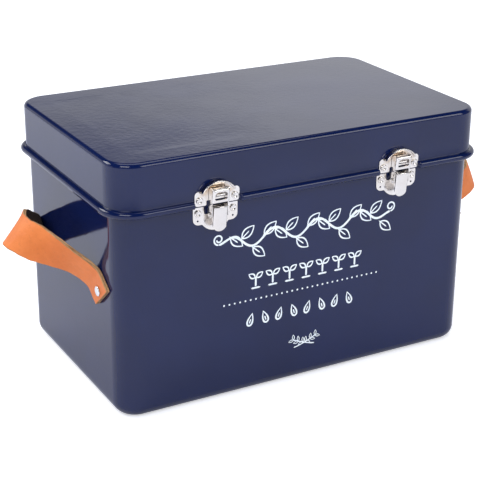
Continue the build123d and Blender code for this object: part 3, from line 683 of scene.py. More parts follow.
latchLook = {"at": 75.0, "sheet": 0.8, "edge": 0.16, "earOut": 17.2, "rivetAt": 13.6, "pivot": (6.2, 152.3),
             "clawPin": (5.5598, 147.7448), "clawHalf": 6.6, "clawFront": 10.4, "clawFoot": 9.2, "leverHalf": 5.3,
             "leverFront": 9.8, "leverFoot": 7.4, "leverTop": 153.6, "leverLow": 135.2, "lugAt": 3.75,
             "domeAt": 156.2, "domeRadius": 15.2, "hookTip": 8.9, "hookHalf": 3.6, "cheekBack": 1.4}


def onFront(centre, x, out, z):
    # latch coordinates (x across, out from the tub's front wall, z up) to the object's
    x, out, z = np.broadcast_arrays(centre + np.asarray(x, float), np.asarray(out, float), np.asarray(z, float))
    return np.stack([x, frontY - out, z], -1)


def arc(x, y, radius, start, stop, steps):
    a = np.radians(np.linspace(start, stop, steps))
    return np.column_stack([x + radius * np.cos(a), y + radius * np.sin(a)])


def bothHalves(right, radii, steps=8):
    # right half of an outline, from its middle line round to its middle line again, and its mirror image
    right = np.asarray(right, float)
    left = right[::-1] * (-1, 1)
    points, rounds = np.vstack([right, left]), np.r_[radii, radii[::-1]]
    keep = np.linalg.norm(points - np.roll(points, 1, 0), axis=1) > 1e-3
    return roundCorners(points[keep], rounds[keep], steps)


def channelFold(centre, flat, radius, front, lean=0.0, leanFrom=0.0, leanOver=99.0, flap=None, flapPath=None):
    # |s| up to flat stays in the front plane, then bends back over an arc of that radius, then runs inwards:
    # x = sign(s) (min(|s|, flat) + r sin a), out = front - r (1 - cos a) - rest, a = clip((|s| - flat) / r, 0, 90 deg);
    # below leanFrom the whole section slides inwards by lean for each unit down
    def fold(s, v):
        far = np.abs(s)
        a = np.clip((far - flat) / radius, 0, np.pi / 2)
        x = np.sign(s) * (np.minimum(far, flat) + radius * np.sin(a))
        out = front - radius * (1 - np.cos(a)) - np.maximum(far - flat - radius * np.pi / 2, 0)
        out = out - lean * np.clip(leanFrom - v, 0, leanOver)
        z = v.copy()
        if flap is not None:  # the tab over the top follows its own path, at distance v - leanFrom
            over = (far < flap + 1e-3) & (v > leanFrom)
            length = np.r_[0, np.cumsum(np.linalg.norm(np.diff(flapPath, axis=0), axis=1))]
            out[over] = np.interp(v[over] - leanFrom, length, flapPath[:, 0])
            z[over] = np.interp(v[over] - leanFrom, length, flapPath[:, 1])
        return onFront(centre, x, out, z)
    return fold


def bendCreases(flat, radius, parts=5):
    stops = flat + radius * np.pi / 2 * np.linspace(0, 1, parts + 1)
    return [("s", sign * stop) for stop in stops for sign in (-1, 1)]


def makeBasePlate(side, look):
    centre, sheet = side * look["at"], look["sheet"]
    lobe = arc(0, 146.3, 12.2, -34.4, -90, 12)
    right = [(0, 152.5), (5.4, 152.5), (5.6, 146.7), (8.5, 146.7), (9.2, 152.5), (17.2, 152.5), (17.2, 139.4),
             *lobe.tolist()]
    radii = np.r_[0, 0.5, 0.9, 0.9, 0.7, 0.9, 4.4, 1.2, np.zeros(len(lobe) - 1)]
    outline = bothHalves(right, radii)
    pilots = [circle(sign * look["rivetAt"], 142.4, 0.7, 14) for sign in (-1, 1)]
    plate = cutSheet("plate", outline, pilots, lambda s, v: onFront(centre, s, sheet / 2, v), [],
                     sheet, look["edge"], nickel)
    pieces = [plate]
    out, z = look["pivot"]
    lug = np.vstack([[(0.3, 152.5), (0.3, 146.6), (2.2, 146.6), (out, z - 2.3)], arc(out, z, 2.3, -80, 172, 16)])
    for x in (-look["lugAt"], look["lugAt"]):
        pieces.append(cutSheet("lug", lug, [], lambda s, v, x=x: onFront(centre, x, s, v), [], 0.9, 0.15, nickel))
    return pieces


def makeKeeper(side, look):
    centre, sheet = side * look["at"], look["sheet"]
    zed, r = look["domeAt"], look["domeRadius"]
    dome = arc(0, zed, r, 33.5, 90, 16)
    right = [(0, 157.6), (8.3, 157.6), (8.3, 154.1), (17.2, 154.1), (17.2, 164.6), *dome.tolist()]
    radii = np.r_[0, 0.8, 0.9, 2.4, 2.6, 0.8, np.zeros(len(dome) - 1)]
    plate = cutSheet("plate", bothHalves(right, radii), [], lambda s, v: onFront(centre, s, lidOut + sheet / 2, v),
                     [], sheet, look["edge"], shadedRecessPlating)
    # rim: a wall section (distance from the dome's centre, out) carried round the dome, lower at its ends
    a = np.radians(np.linspace(27.6, 152.4, 61))
    section = roundCorners([(r, 2.9), (r, 7.1), (r - 0.9, 7.1), (r - 0.9, 3.8), (r - 1.7, 3.45), (r - 1.7, 2.9)],
                           [0, 0.4, 0.4, 0.5, 0.1, 0], 5)
    fromEnd = np.minimum(a - a[0], a[-1] - a) / math.radians(5)
    tall = 0.35 + 0.65 * np.clip(fromEnd, 0, 1) ** 0.6
    out = 2.9 + (section[None, :, 1] - 2.9) * tall[:, None]
    radius = np.broadcast_to(section[None, :, 0], out.shape)
    rim = netPiece("rim", onFront(centre, radius * np.cos(a)[:, None], out, zed + radius * np.sin(a)[:, None]),
                   nickel)
    # hook: a rounded bar that runs out and up 10 degrees, its nose drawn in like the end of a capsule
    tip, half = look["hookTip"], look["hookHalf"]
    run = np.r_[np.linspace(3.0, tip - 0.75, 8), tip - 0.75 + 0.75 * np.sin(np.linspace(0.2, 1.5, 8))]
    shrink = np.sqrt(np.clip(1 - np.clip((run - tip + 0.75) / 0.75, 0, 1) ** 2, 0.0008, 1))
    slopeZ = 162.3 - 0.7 + (run - 6.4) * math.tan(math.radians(10)) - 2.0 * np.exp(-((run - 3.0) / 1.0) ** 2)
    profile = roundCorners([(-half, -0.7), (half, -0.7), (half, 0.7), (-half, 0.7)], 0.55, 5)
    x = profile[None, :, 0] * (0.86 + 0.14 * shrink)[:, None]
    z = slopeZ[:, None] + profile[None, :, 1] * shrink[:, None]
    hook = netPiece("hook", onFront(centre, x, run[:, None], z), nickel)
    return [plate, rim, hook]


def makeLever(side, look):
    centre, sheet, half, top = side * look["at"], look["sheet"], look["leverHalf"], look["leverTop"]
    front, radius = look["leverFront"] - sheet / 2, 0.8
    flat = half - sheet / 2 - radius
    bend = flat + radius * math.pi / 2
    lean = (look["leverFront"] - look["leverFoot"]) / (top - look["leverLow"])

    def onFlange(out, z):  # pattern point of a point of the flange
        return (bend + front - radius - out - lean * (top - z), z)

    out, z = look["pivot"]
    tongue = arc(0, look["leverLow"] + half, half, -90, -30, 11)
    boss = arc(0, 0, 2.3, 10, 95, 8) + onFlange(out, z)
    right = [*tongue.tolist(), onFlange(6.6, 140.2), onFlange(5.6, 145.4), onFlange(3.5, 146.3), onFlange(3.4, 149.2),
             *boss.tolist(), (bend - 0.2, top + 0.1), (0, top + 0.1)]
    radii = np.r_[np.zeros(len(tongue)), 1.5, 1.5, 1.5, 1.5, np.zeros(len(boss)), 0.4, 0]
    spots = [onFlange(*look["clawPin"]), onFlange(out, z)]
    holes = [circle(sign * spot[0], spot[1], 1.0, 16) for spot in spots for sign in (-1, 1)]
    body = cutSheet("body", bothHalves(right, radii), holes, channelFold(centre, flat, radius, front, lean, top),
                    bendCreases(flat, radius), sheet, look["edge"], nickel)
    ridge = turned([(0.15, -0.2), (0.55, -0.1), (0.8, 0.2), (0.8, 2 * half - 0.8), (0.55, 2 * half - 0.5),
                    (0.15, 2 * half - 0.4)], onFront(centre, 0.3 - half, look["leverFront"] - 0.2, top - 0.2),
                   (1, 0, 0), (0, 1, 0), 16)
    return [body, netPiece("ridge", ridge, nickel)]


def makeClaw(side, look):
    centre, sheet, half = side * look["at"], look["sheet"], look["clawHalf"]
    front, radius, shoulder, web = look["clawFront"] - sheet / 2, 1.0, 165.2, 156.8
    flat = half - sheet / 2 - radius
    bend = flat + radius * math.pi / 2
    lean = (look["clawFront"] - look["clawFoot"]) / (shoulder - web)

    def onCheek(out, z):
        return (bend + front - radius - out - lean * min(max(shoulder - z, 0), shoulder - web), z)

    pinOut, pinZ = look["clawPin"]
    path = openRun([(front, shoulder), (front, 166.4), (6.0, 166.4), (6.0, 162.7)], [1.1, 1.1], 7)
    flapLong = np.linalg.norm(np.diff(path, axis=0), axis=1).sum()
    boss = arc(0, 0, 2.3, -172, -90, 8) + onCheek(pinOut, pinZ)
    back = look["cheekBack"]
    right = [(0, web), (bend - 0.1, web), onCheek(8.1, 153.0), *boss.tolist(), onCheek(back + 1.4, 145.7),
             onCheek(back, 147.4), onCheek(back, 150.9), onCheek(3.1, 152.4), onCheek(3.1, 156.6),
             onCheek(3.9, 157.3), onCheek(3.9, 164.9), onCheek(5.6, 166.8), (bend + 0.5, 166.8), (flat + 0.25, 165.9),
             (flat + 0.2, shoulder), (flat - 0.1, shoulder), (flat - 0.1, shoulder + flapLong), (0, shoulder + flapLong)]
    radii = np.r_[0, 1.0, 1.5, np.zeros(len(boss)), 0.8, 1.4, 0.8, 0.5, 0.3, 0.3, 1.6, 1.2, 0.9, 0.2, 0.05, 0.05, 0.3, 0]
    window = roundCorners([(-4.8, 158.7), (4.8, 158.7), (4.8, 164.7), (-4.8, 164.7)], [1.2, 1.2, 2.8, 2.8], 7)
    spot = onCheek(pinOut, pinZ)
    holes = [window] + [circle(sign * spot[0], spot[1], 1.05, 16) for sign in (-1, 1)]
    length = np.r_[0, np.cumsum(np.linalg.norm(np.diff(path, axis=0), axis=1))]
    creases = bendCreases(flat, radius) + [("v", shoulder + d) for d in length[:-1]] + [("v", web)]
    fold = channelFold(centre, flat, radius, front, lean, shoulder, shoulder - web, flat, path)
    return [cutSheet("body", bothHalves(right, radii), holes, fold, creases, sheet, look["edge"], nickel)]


def dishedRivet(headR, headH, shankR, lift, grip, tailR, tailH):
    # half section (radius, height) of a rivet with a slightly hollow head, from its head to its tail
    return np.array([
        (0.12 * headR, lift + 0.52 * headH), (0.34 * headR, lift + 0.56 * headH), (0.52 * headR, lift + 0.80 * headH),
        (0.68 * headR, lift + 0.98 * headH), (0.80 * headR, lift + headH), (0.92 * headR, lift + 0.82 * headH),
        (0.99 * headR, lift + 0.46 * headH), (headR, lift + 0.14 * headH), (0.97 * headR, lift - 0.02),
        (shankR, lift - 0.02), (shankR, -grip), (tailR, -grip - 0.02), (tailR, -grip - 0.5 * tailH),
        (0.7 * tailR, -grip - 0.95 * tailH), (0.2 * tailR, -grip - tailH)])


def rivetPiece(name, node, profile, spots, axis, sideways, material, body, slot):
    nets = [turned(profile, spot, axis, sideways, 26) for spot in spots]
    return settle(netPiece(name, nets, material), body, slot, node)


for side, hand in ((-1, "left"), (1, "right")):
    at = side * latchLook["at"]
    settle(joined(f"{hand}BasePlate", makeBasePlate(side, latchLook)), "tub", "latch_nickel",
           f"{hand}_latch_base_plate")
    settle(joined(f"{hand}Keeper", makeKeeper(side, latchLook)), "lid", "latch_nickel", f"{hand}_latch_keeper")
    settle(joined(f"{hand}Lever", makeLever(side, latchLook)), f"{hand}_lever", "latch_nickel",
           f"{hand}_latch_lever")
    settle(joined(f"{hand}Claw", makeClaw(side, latchLook)), f"{hand}_claw", "latch_nickel", f"{hand}_latch_claw")
    half = latchLook["leverHalf"]
    pin = [(0.2, -half), (0.75, 0.05 - half), (1.0, 0.25 - half), (1.0, half - 0.25), (0.75, half - 0.05), (0.2, half)]
    settle(netPiece(f"{hand}LeverPin", turned(pin, onFront(at, 0, *latchLook["pivot"]), (1, 0, 0), (0, 1, 0), 20),
                    nickel), "tub", "latch_nickel", f"{hand}_latch_lever_pin")
    half = latchLook["clawHalf"] + 0.9
    end = [(0.3, half), (1.1, half - 0.08), (1.55, half - 0.25), (1.7, half - 0.45), (1.68, half - 0.6),
           (1.0, half - 0.62)]
    headed = [(r, -x) for r, x in end] + end[::-1]
    settle(netPiece(f"{hand}ClawPin", turned(headed, onFront(at, 0, *latchLook["clawPin"]), (1, 0, 0), (0, 1, 0),
                                             20), nickel), f"{hand}_lever", "latch_nickel", f"{hand}_latch_claw_pin")

smallRivet = dishedRivet(2.6, 1.1, 1.3, 0.8, 0.8, 1.9, 0.6)
leafRivet = dishedRivet(2.6, 1.1, 1.3, 1.0, 0.8, 1.9, 0.6)
spots = [(s * 75.0 + t * 13.6) for s in (-1, 1) for t in (-1, 1)]
rivetPiece("baseRivets", "base_rivets", smallRivet, [(x, frontY, 148.0) for x in spots], (0, -1, 0), (1, 0, 0),
           nickel, "tub", "latch_nickel")
rivetPiece("keeperRivets", "keeper_rivets", smallRivet, [(x, frontY - lidOut, 158.2) for x in spots],
           (0, -1, 0), (1, 0, 0), nickel, "lid", "latch_nickel")
spots = [(s * 80.0 + t * 9.0) for s in (-1, 1) for t in (-1, 1)]
rivetPiece("hingeBodyRivets", "hinge_body_rivets", leafRivet, [(x, -frontY, 134.0) for x in spots], (0, 1, 0),
           (1, 0, 0), hingeNickel, "tub", "hinge_nickel")
rivetPiece("hingeLidRivets", "hinge_lid_rivets", leafRivet, [(x, lidOut - frontY, 165.0) for x in spots],
           (0, 1, 0), (1, 0, 0), hingeNickel, "lid", "hinge_nickel")
print("latches and rivets made")


# handles

# the right one bulges forward and hangs lower
strapLook = {"width": 26.0, "thick": 3.0, "gap": 0.2, "cut": 7.0, "rivetIn": 6.0,
             "rows": 150, "headR": 3.8, "headH": 0.9,
             -1: {"rivetY": 58.0, "rivetZ": 90.8, "rise": 33.7, "tab": 13.2, "lead": 18.0, "lags": (20.0, 20.0),
                  "reach": 39.6, "topY": 0.0, "topZ": 121.0, "tilt": 44.5, "dip": 0.16},
             1: {"rivetY": 60.9, "rivetZ": 93.6, "rise": 24.3, "tab": 11.4, "lead": 18.7, "lags": (28.4, 50.0),
                 "reach": 37.8, "topY": -30.9, "topZ": 119.1, "tilt": 25.7, "dip": 0.0}}


def strapLine(look, side):
    # each half of the line: a straight tab, then a cubic curve to the top of the arch.
    # tilt = full tilt * ease^1.5 - dip * 4 v (1 - v), ease = v^2 (3 - 2 v)
    bent = look[side]
    rise = math.radians(bent["rise"])
    u = np.linspace(0, 1, look["rows"] // 2 + 1)[:, None]
    v = np.clip((u - 0.2) / 0.8, 0, 1)
    top = np.array([-endX - bent["reach"], bent["topY"], bent["topZ"]])
    halves = []
    for fore, lag in zip((-1, 1), bent["lags"]):
        along = np.array([0, -fore * math.cos(rise), math.sin(rise)])
        rivet = np.array([-endX - look["gap"] - look["thick"] / 2, fore * bent["rivetY"], bent["rivetZ"]])
        start = rivet - along * look["rivetIn"]
        bend = start + along * bent["tab"]
        curve = (bend * (1 - v) ** 3 + (bend + along * bent["lead"]) * 3 * v * (1 - v) ** 2
                 + (top + (0, fore * lag, 0)) * 3 * v * v * (1 - v) + top * v**3)
        halves.append(np.where(u < 0.2, start + along * bent["tab"] * u / 0.2, curve))
    ease = v * v * (3 - 2 * v)
    tilt = (math.radians(bent["tilt"]) * ease**1.5 - bent["dip"] * 4 * v * (1 - v))[:, 0]
    points = np.vstack([halves[0], halves[1][-2::-1]]) * (-side, 1, 1)
    along = np.gradient(points, axis=0)
    along /= np.linalg.norm(along, axis=1, keepdims=True)
    if side < 0:
        tilt = np.r_[tilt, tilt[-2::-1]]
        facing = np.column_stack([side * np.cos(tilt), np.zeros(len(tilt)), np.sin(tilt)])
        outward = facing - along * (facing * along).sum(1, keepdims=True)
        outward /= np.linalg.norm(outward, axis=1, keepdims=True)
        across = np.cross(along, outward)
        return points, along, outward, across * np.sign(across[:, 2:])
    # the right strap leaves the wall steeply, so its crosswise direction is led instead
    lean, ease = math.radians(bent["tilt"]), np.vstack([ease, ease[-2::-1]])
    fore = np.where(np.arange(len(points)) < len(u), -1.0, 1.0)
    atTab = np.column_stack([0 * fore, fore * math.sin(rise), 0 * fore + math.cos(rise)])
    lead = atTab * (1 - ease) + np.array([-math.sin(lean), 0, math.cos(lean)]) * ease
    across = lead - along * (lead * along).sum(1, keepdims=True)
    across /= np.linalg.norm(across, axis=1, keepdims=True)
    return points, along, np.cross(along, across), across


def makeStrap(side, look):
    points, along, outward, across = strapLine(look, side)
    w, t = look["width"] / 2, look["thick"] / 2
    top = np.linspace(-w, w, 25)
    ring = roundCorners([(-w, -t), *[(x, -t) for x in top[1:-1]], (w, -t), (w, t),
                         *[(x, t) for x in top[::-1][1:-1]], (-w, t)],
                        np.r_[0.7, np.zeros(23), 0.7, 0.7, np.zeros(23), 0.7], 4)
    a, b = ring[:, 0], ring[:, 1]
    length = np.r_[0, np.cumsum(np.linalg.norm(np.diff(points, axis=0), axis=1))]
    fromEnd = np.minimum(length, length[-1] - length)[:, None]
    towards = np.where(length < length[-1] / 2, -1.0, 1.0)[:, None]
    # the ends are cut aslant: the shear dies away over the first 9 mm
    shear = look["cut"] * a[None] / look["width"] * np.clip(1 - fromEnd / 9, 0, 1) * towards
    # pulled in under the rivet head, and edges that are not quite straight
    spot = np.hypot(fromEnd - look["rivetIn"] - 0.6, a[None])
    sunk = -0.35 * np.exp(-((spot / 6.5) ** 2)) * np.clip(b[None] / t, 0, 1)
    wobble = 0.16 * np.sin(length / 3.1 + side)[:, None] + 0.11 * np.sin(length / 1.3 + 2.0)[:, None]
    wide = a[None] * (1 + wobble / w * np.clip(fromEnd / 10, 0, 1))
    # leather bends over its own thickness: the middle stands out a little from the edges in the arch
    crown = 0.35 * (1 - (a[None] / w) ** 2) * np.clip((fromEnd - 20) / 30, 0, 1)
    net = (points[:, None] + wide[..., None] * across[:, None] + (b[None] + sunk + crown)[..., None]
           * outward[:, None] + shear[..., None] * along[:, None])
    # the two cut ends: one more, smaller ring each takes the sharpness off
    first, last = net[0] * 0.94 + net[0].mean(0) * 0.06, net[-1] * 0.94 + net[-1].mean(0) * 0.06
    net = np.concatenate([(first - along[0] * 0.25)[None], net, (last + along[-1] * 0.25)[None]])
    hand = "left" if side < 0 else "right"
    piece = netPiece(f"{hand}Strap", net, leather)
    # 1 on the grain side, 0 on the flesh side, 0.5 on the cut edges
    edge = np.clip((np.abs(a) - (w - 0.5)) / 0.35, 0, 1)
    skin = np.where(b > 0, 1.0, 0.0) * (1 - edge) + 0.5 * edge
    grid = np.tile(skin, (net.shape[0], 1))
    grid[[0, -1]] = 0.5
    layer = piece.data.attributes.new("skin", "FLOAT", "POINT")
    layer.data.foreach_set("value", grid.ravel().astype(np.float32))
    whole = np.r_[-0.3, length, length[-1] + 0.3] * mm
    uPoint = np.repeat(whole, len(a))
    vPoint = np.tile(b * mm, net.shape[0])
    corner = np.zeros(len(piece.data.loops), np.int32)
    piece.data.loops.foreach_get("vertex_index", corner)
    uv = piece.data.uv_layers.new(name="alongStrap")
    uv.data.foreach_set("uv", np.column_stack([uPoint[corner], vPoint[corner]]).ravel().astype(np.float32))
    return settle(piece, "tub", "tan_leather", f"{hand}_handle_strap")


for side in (-1, 1):
    makeStrap(side, strapLook)
lift = strapLook["thick"] + 2 * strapLook["gap"]
r, h = strapLook["headR"], strapLook["headH"]
handleRivet = [(0.15 * r, lift + h), (0.5 * r, lift + 0.97 * h), (0.78 * r, lift + 0.84 * h),
               (0.92 * r, lift + 0.62 * h), (0.99 * r, lift + 0.34 * h), (r, lift + 0.1), (0.96 * r, lift - 0.5),
               (1.6, lift - 0.55), (1.6, -1.62), (2.9, -1.64), (2.9, -2.1), (2.2, -2.4), (0.5, -2.4)]
washer = roundCorners([(1.66, -0.82), (6.0, -0.82), (6.0, -1.6), (1.66, -1.6)], [0.1, 0.1, 0.25, 0.1], 4)
spots = [(side * endX, fore * strapLook[side]["rivetY"], strapLook[side]["rivetZ"])
         for side in (-1, 1) for fore in (-1, 1)]
outwards = [(math.copysign(1.0, spot[0]), 0, 0) for spot in spots]
settle(netPiece("handleRivets", [turned(handleRivet, p, n, (0, 1, 0), 32) for p, n in zip(spots, outwards)],
                rivetSteel), "tub", "rivet_steel", "handle_rivets")
settle(netPiece("handleWashers", [turned(washer, p, n, (0, 1, 0), 36) for p, n in zip(spots, outwards)],
                rivetSteel, wrapRows=True), "tub", "rivet_steel", "handle_washers")
print("handles made")

# Hinges, each leaf a flat blank (x across, v along its path) that is bent and curled round the pin

hingeLook = {"at": 80.0, "half": 15.0, "pin": (5.1, 151.2), "curl": 1.78, "sheet": 1.0, "edge": 0.18,
             "knuckle": 5.2, "rivetAt": 9.0, "lowZ": 126.0, "topZ": 174.0}


def hingePaths(look):
    # side view (out, z): the tub's leaf goes up, cranks out and curls clockwise over the pin; the lid's comes down
    # and curls the other way
    out, z = look["pin"]
    r = look["curl"]
    up = openRun([(0.5, look["lowZ"]), (0.5, 144.3), (out - r, 148.0), (out - r, z - 0.1)], [2.0, 2.0], 6)
    down = np.array([(3.2, look["topZ"]), (3.2, 154.6), (out - r, 152.0), (out - r, z + 0.05)])
    return np.vstack([up, arc(out, z, r, 180, -95, 22)]), np.vstack([down, arc(out, z, r, 180, 455, 22)])


def makeLeaf(name, side, look, path, shoulder, outward, rivetV):
    # outward: the knuckles are the outer fingers, otherwise the middle one
    length = np.r_[0, np.cumsum(np.linalg.norm(np.diff(path, axis=0), axis=1))]
    end, w, k = length[-1], look["half"], look["knuckle"]
    if outward:
        right = [(0, 0), (w, 0), (w, end), (k, end), (k, shoulder), (0, shoulder)]
    else:
        right = [(0, 0), (w, 0), (w, shoulder), (k - 0.3, shoulder), (k - 0.3, end), (0, end)]
    holes = [circle(sign * look["rivetAt"], rivetV, 1.32, 16) for sign in (-1, 1)]
    centre = side * look["at"]

    def fold(s, v):
        return np.stack([centre + s, -frontY + np.interp(v, length, path[:, 0]), np.interp(v, length, path[:, 1])], -1)

    creases = [("v", stop) for stop in length[1:-1]]
    radii = [0, 4.0, 0.3, 0.3, 0.3, 0]
    return cutSheet(name, bothHalves(right, radii), holes, fold, creases, look["sheet"], look["edge"], hingeNickel)


bodyPath, lidPath = hingePaths(hingeLook)
for side, hand in ((-1, "left"), (1, "right")):
    settle(makeLeaf(f"{hand}BodyLeaf", side, hingeLook, bodyPath, 20.6, True, 8.0), "tub", "hinge_nickel",
           f"{hand}_hinge_body_leaf")
    settle(makeLeaf(f"{hand}LidLeaf", side, hingeLook, lidPath, 19.6, False, 9.0), "lid", "hinge_nickel",
           f"{hand}_hinge_lid_leaf")
    axle = [(0.3, -15.6), (0.85, -15.5), (1.16, -15.2), (1.2, -14.9), (1.2, 14.9), (1.16, 15.2), (0.85, 15.5), (0.3, 15.6)]
    centre = (side * hingeLook["at"], hingeLook["pin"][0] - frontY, hingeLook["pin"][1])
    settle(netPiece(f"{hand}HingePin", turned(axle, centre, (1, 0, 0), (0, 1, 0), 22), hingeNickel), "tub",
           "hinge_nickel", f"{hand}_hinge_pin")
print("hinges made")


# Flat drawing work: print on the front wall, numbers and rules on the cards

def ribbon(line, width):
    # a stroke: the line offset by half its width to both sides, its two ends narrowed to a round
    line = np.asarray(line, float)
    along = np.gradient(line, axis=0)
    along /= np.linalg.norm(along, axis=1, keepdims=True)
    side = np.column_stack([-along[:, 1], along[:, 0]])
    length = np.r_[0, np.cumsum(np.linalg.norm(np.diff(line, axis=0), axis=1))]
    near = np.clip(np.minimum(length, length[-1] - length) / (width / 2), 0, 1)
    half = width / 2 * np.sqrt(np.clip(1 - (1 - near) ** 2, 0.02, 1))[:, None]
    return np.stack([line + side * half, line - side * half], 1), False


def outlined(shape, width):
    # a ring between a shape and its smaller self: inner = middle + (shape - middle) * (1 - width / half extent)
    middle, half = (shape.max(0) + shape.min(0)) / 2, (shape.max(0) - shape.min(0)) / 2
    return np.stack([middle + (shape - middle) * (1 - width / half), shape], 1), True


def disc(x, y, radius, steps=16):
    ring = circle(x, y, radius, steps)
    return np.stack([np.broadcast_to((x, y), ring.shape), ring], 1), True


def placed(stroke, x, y, angle):
    net, closed = stroke
    a = math.radians(angle)
    return net @ np.array([[math.cos(a), math.sin(a)], [-math.sin(a), math.cos(a)]]) + (x, y), closed


def leafShape(length, wide, steps=22):
    # pointed oval: y = +-wide sin(pi t)^0.8 (1 - 0.35 t)
    t = np.linspace(0, 1, steps)
    rise = wide * np.sin(np.pi * t) ** 0.8 * (1 - 0.35 * t)
    up, down = np.column_stack([t * length, rise]), np.column_stack([t * length, -rise])[::-1]
    return np.vstack([down, up[1:-1]])


printLook = {"vine": (-72.0, 72.0, 121.5), "swing": 5.4, "wave": 36.0, "stroke": 1.7, "leaf": (13.5, 4.6),
             "sproutZ": 84.0, "sprouts": (-42.0, 42.0, 7), "rule": (-67.6, 62.0, 74.1, 31), "seedZ": 58.5,
             "seeds": (-46.0, 38.0, 8), "crossZ": 31.5}


def makePrint(look):
    strokes, w = [], look["stroke"]
    left, right, level = look["vine"]
    # vine: a sine wave that dies away at both ends, with a leaf on every half wave
    x = np.linspace(left, right, 150)
    fade = np.clip((np.minimum(x - left, right - x)) / 18, 0, 1) ** 0.7
    strokes.append(ribbon(np.column_stack([x, level + look["swing"] * fade * np.sin(2 * np.pi * x / look["wave"])]), w))
    leaf = outlined(leafShape(*look["leaf"]), 1.15)
    rib = ribbon([(t, 0) for t in np.linspace(-1.0, look["leaf"][0] * 0.6, 9)], 0.95)
    for n, at in enumerate(np.arange(-3.5, 3.6, 0.5) * look["wave"] / 2):
        y = level + look["swing"] * math.sin(2 * math.pi * at / look["wave"])
        up = 1 if n % 2 else -1
        strokes += [placed(leaf, at, y + 1.2 * up, 40 * up), placed(rib, at, y + 1.2 * up, 40 * up)]
    # tendrils: r = 4 - 2.6 t over one and a quarter turns, at both ends
    t = np.linspace(0, 1, 44)
    r, a = 4.0 - 2.6 * t, 2 * np.pi * 1.25 * t
    for sign, end in ((-1, left), (1, right)):
        curl = np.column_stack([end + sign * r * np.sin(a), level + 4.0 - r * np.cos(a)])
        strokes.append(ribbon(curl, 1.2))
    # sprouts: stem, two seed leaves, and a short line of ground
    first, last, count = look["sprouts"]
    seedLeaf = outlined(leafShape(7.0, 2.7), 1.2)
    z = look["sproutZ"]
    for at in np.linspace(first, last, count):
        strokes += [ribbon([(at, z + t) for t in np.linspace(0, 7.4, 10)], 1.5), placed(seedLeaf, at + 0.2, z + 6.6, 34),
                    placed(seedLeaf, at - 0.2, z + 6.6, 146), ribbon([(at + t, z - 1.0) for t in np.linspace(-3.8, 3.8, 9)],
                                                                     1.4)]
    first, last, z, count = look["rule"]
    strokes += [disc(at, z, 0.72) for at in np.linspace(first, last, count)]
    # seeds: outlined drops with a centre line, leaning to and fro
    first, last, count = look["seeds"]
    t = np.linspace(2 * np.pi, 0, 36, endpoint=False)
    drop = outlined(np.column_stack([3.7 * np.sin(t) * np.sin(t / 2) ** 1.1, 5.4 * np.cos(t)]), 1.35)
    mark = ribbon([(0, y) for y in np.linspace(-3.0, 0.6, 8)], 1.0)
    for n, at in enumerate(np.linspace(first, last, count)):
        angle = 18 if n % 2 else -18
        strokes += [placed(drop, at, look["seedZ"], angle), placed(mark, at, look["seedZ"], angle)]
    # two small crossed twigs
    t = np.linspace(0, 1, 24)
    sepal = outlined(leafShape(4.6, 1.4), 0.62)
    for sign in (-1, 1):
        stem = np.column_stack([sign * (-9 + 19 * t), look["crossZ"] - 4 + 6.5 * t**1.4])
        strokes.append(ribbon(stem, 0.9))
        strokes += [placed(sepal, *stem[k], 90 - sign * (90 - turn - 22)) for k in (12, 17, 22) for turn in (62, -34)]
    # every stroke lies a hair further out than the one before it, so that none shares its plane with another
    points, faces, start = [], [], 0
    for n, (net, closed) in enumerate(strokes):
        faces += gridFaces(len(net), 2, wrapRows=closed, wrapCols=False, start=start)
        flat = net.reshape(-1, 2)
        points.append(np.stack([flat[:, 0], np.full(len(flat), frontY - 0.05 - 0.0008 * n), flat[:, 1]], -1))
        start += len(flat)
    front = putMesh("frontPrint", np.vstack(points), faces, ink, smooth=False, turnOut=False)
    return settle(front, "tub", "navy_enamel")


makePrint(printLook)
print("print made")


# Index cards keep their frame shapes; each gets its number and ruled lines

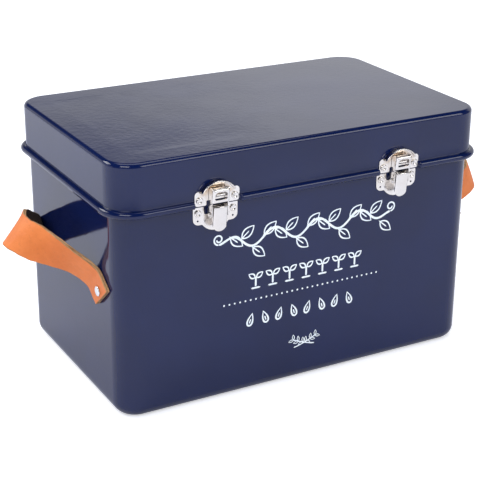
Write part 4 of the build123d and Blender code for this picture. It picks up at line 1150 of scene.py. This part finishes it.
cardLook = {"middle": 73.7, "row": -62.5, "pitch": 25.0, "half": 0.6, "tabFrom": 53.5, "tabStep": 21.4, "numberZ": 164.0,
            "numberSize": 8.2, "rules": (152.0, 8.0, 16), "ruleHalf": 60.0}


def numberNet(text, size):
    # the digits as flat triangles, centred on their own middle
    curve = bpy.data.curves.new("digits", "FONT")
    curve.body, curve.size, curve.align_x, curve.align_y = text, size * mm, "CENTER", "CENTER"
    curve.resolution_u = 6
    words = bpy.data.objects.new("digits", curve)
    bpy.context.scene.collection.objects.link(words)
    graph = bpy.context.evaluated_depsgraph_get()
    flat = bpy.data.meshes.new_from_object(words.evaluated_get(graph), depsgraph=graph)
    points = np.zeros(len(flat.vertices) * 3)
    flat.vertices.foreach_get("co", points)
    faces = [list(face.vertices) for face in flat.polygons]
    bpy.data.objects.remove(words)
    bpy.data.meshes.remove(flat)
    return points.reshape(-1, 3)[:, :2] / mm, faces


def makeCardPrint(number, look):
    row, place = divmod(number - 1, 6)
    middle = look["middle"] * (1 if row else -1)
    y = look["row"] + place * look["pitch"] - look["half"] - 0.04
    tab = middle - look["tabFrom"] + place * look["tabStep"]
    flat, faces = numberNet(str(number), look["numberSize"])
    points = np.stack([tab + flat[:, 0], np.full(len(flat), y), look["numberZ"] + 2.5 + flat[:, 1]], -1)
    digits = putMesh(f"digits{number:02d}", points, faces, numberInk, smooth=False, turnOut=False)
    top, step, count = look["rules"]
    half, thin = look["ruleHalf"], 0.22
    z = top - step * np.arange(count)
    corners = np.stack([np.stack([np.full(count, middle + a * half), np.full(count, y), z + b * thin], -1)
                        for a, b in ((-1, -1), (1, -1), (1, 1), (-1, 1))], 1)
    faces = np.arange(count * 4).reshape(-1, 4).tolist()
    rules = putMesh(f"rules{number:02d}", corners, faces, ruleInk, smooth=False, turnOut=False)
    return settle(joined(f"cardPrint{number:02d}", [digits, rules]), f"card_{number:02d}", "card_stock")


for number in range(1, 13):
    makeCardPrint(number, cardLook)
for node, material in [("centre_partition", paint)] + [(f"index_card_{n:02d}", card) for n in range(1, 13)]:
    kept = bpy.data.objects[node]
    kept.data.materials.clear()
    kept.data.materials.append(material)
print("cards made")
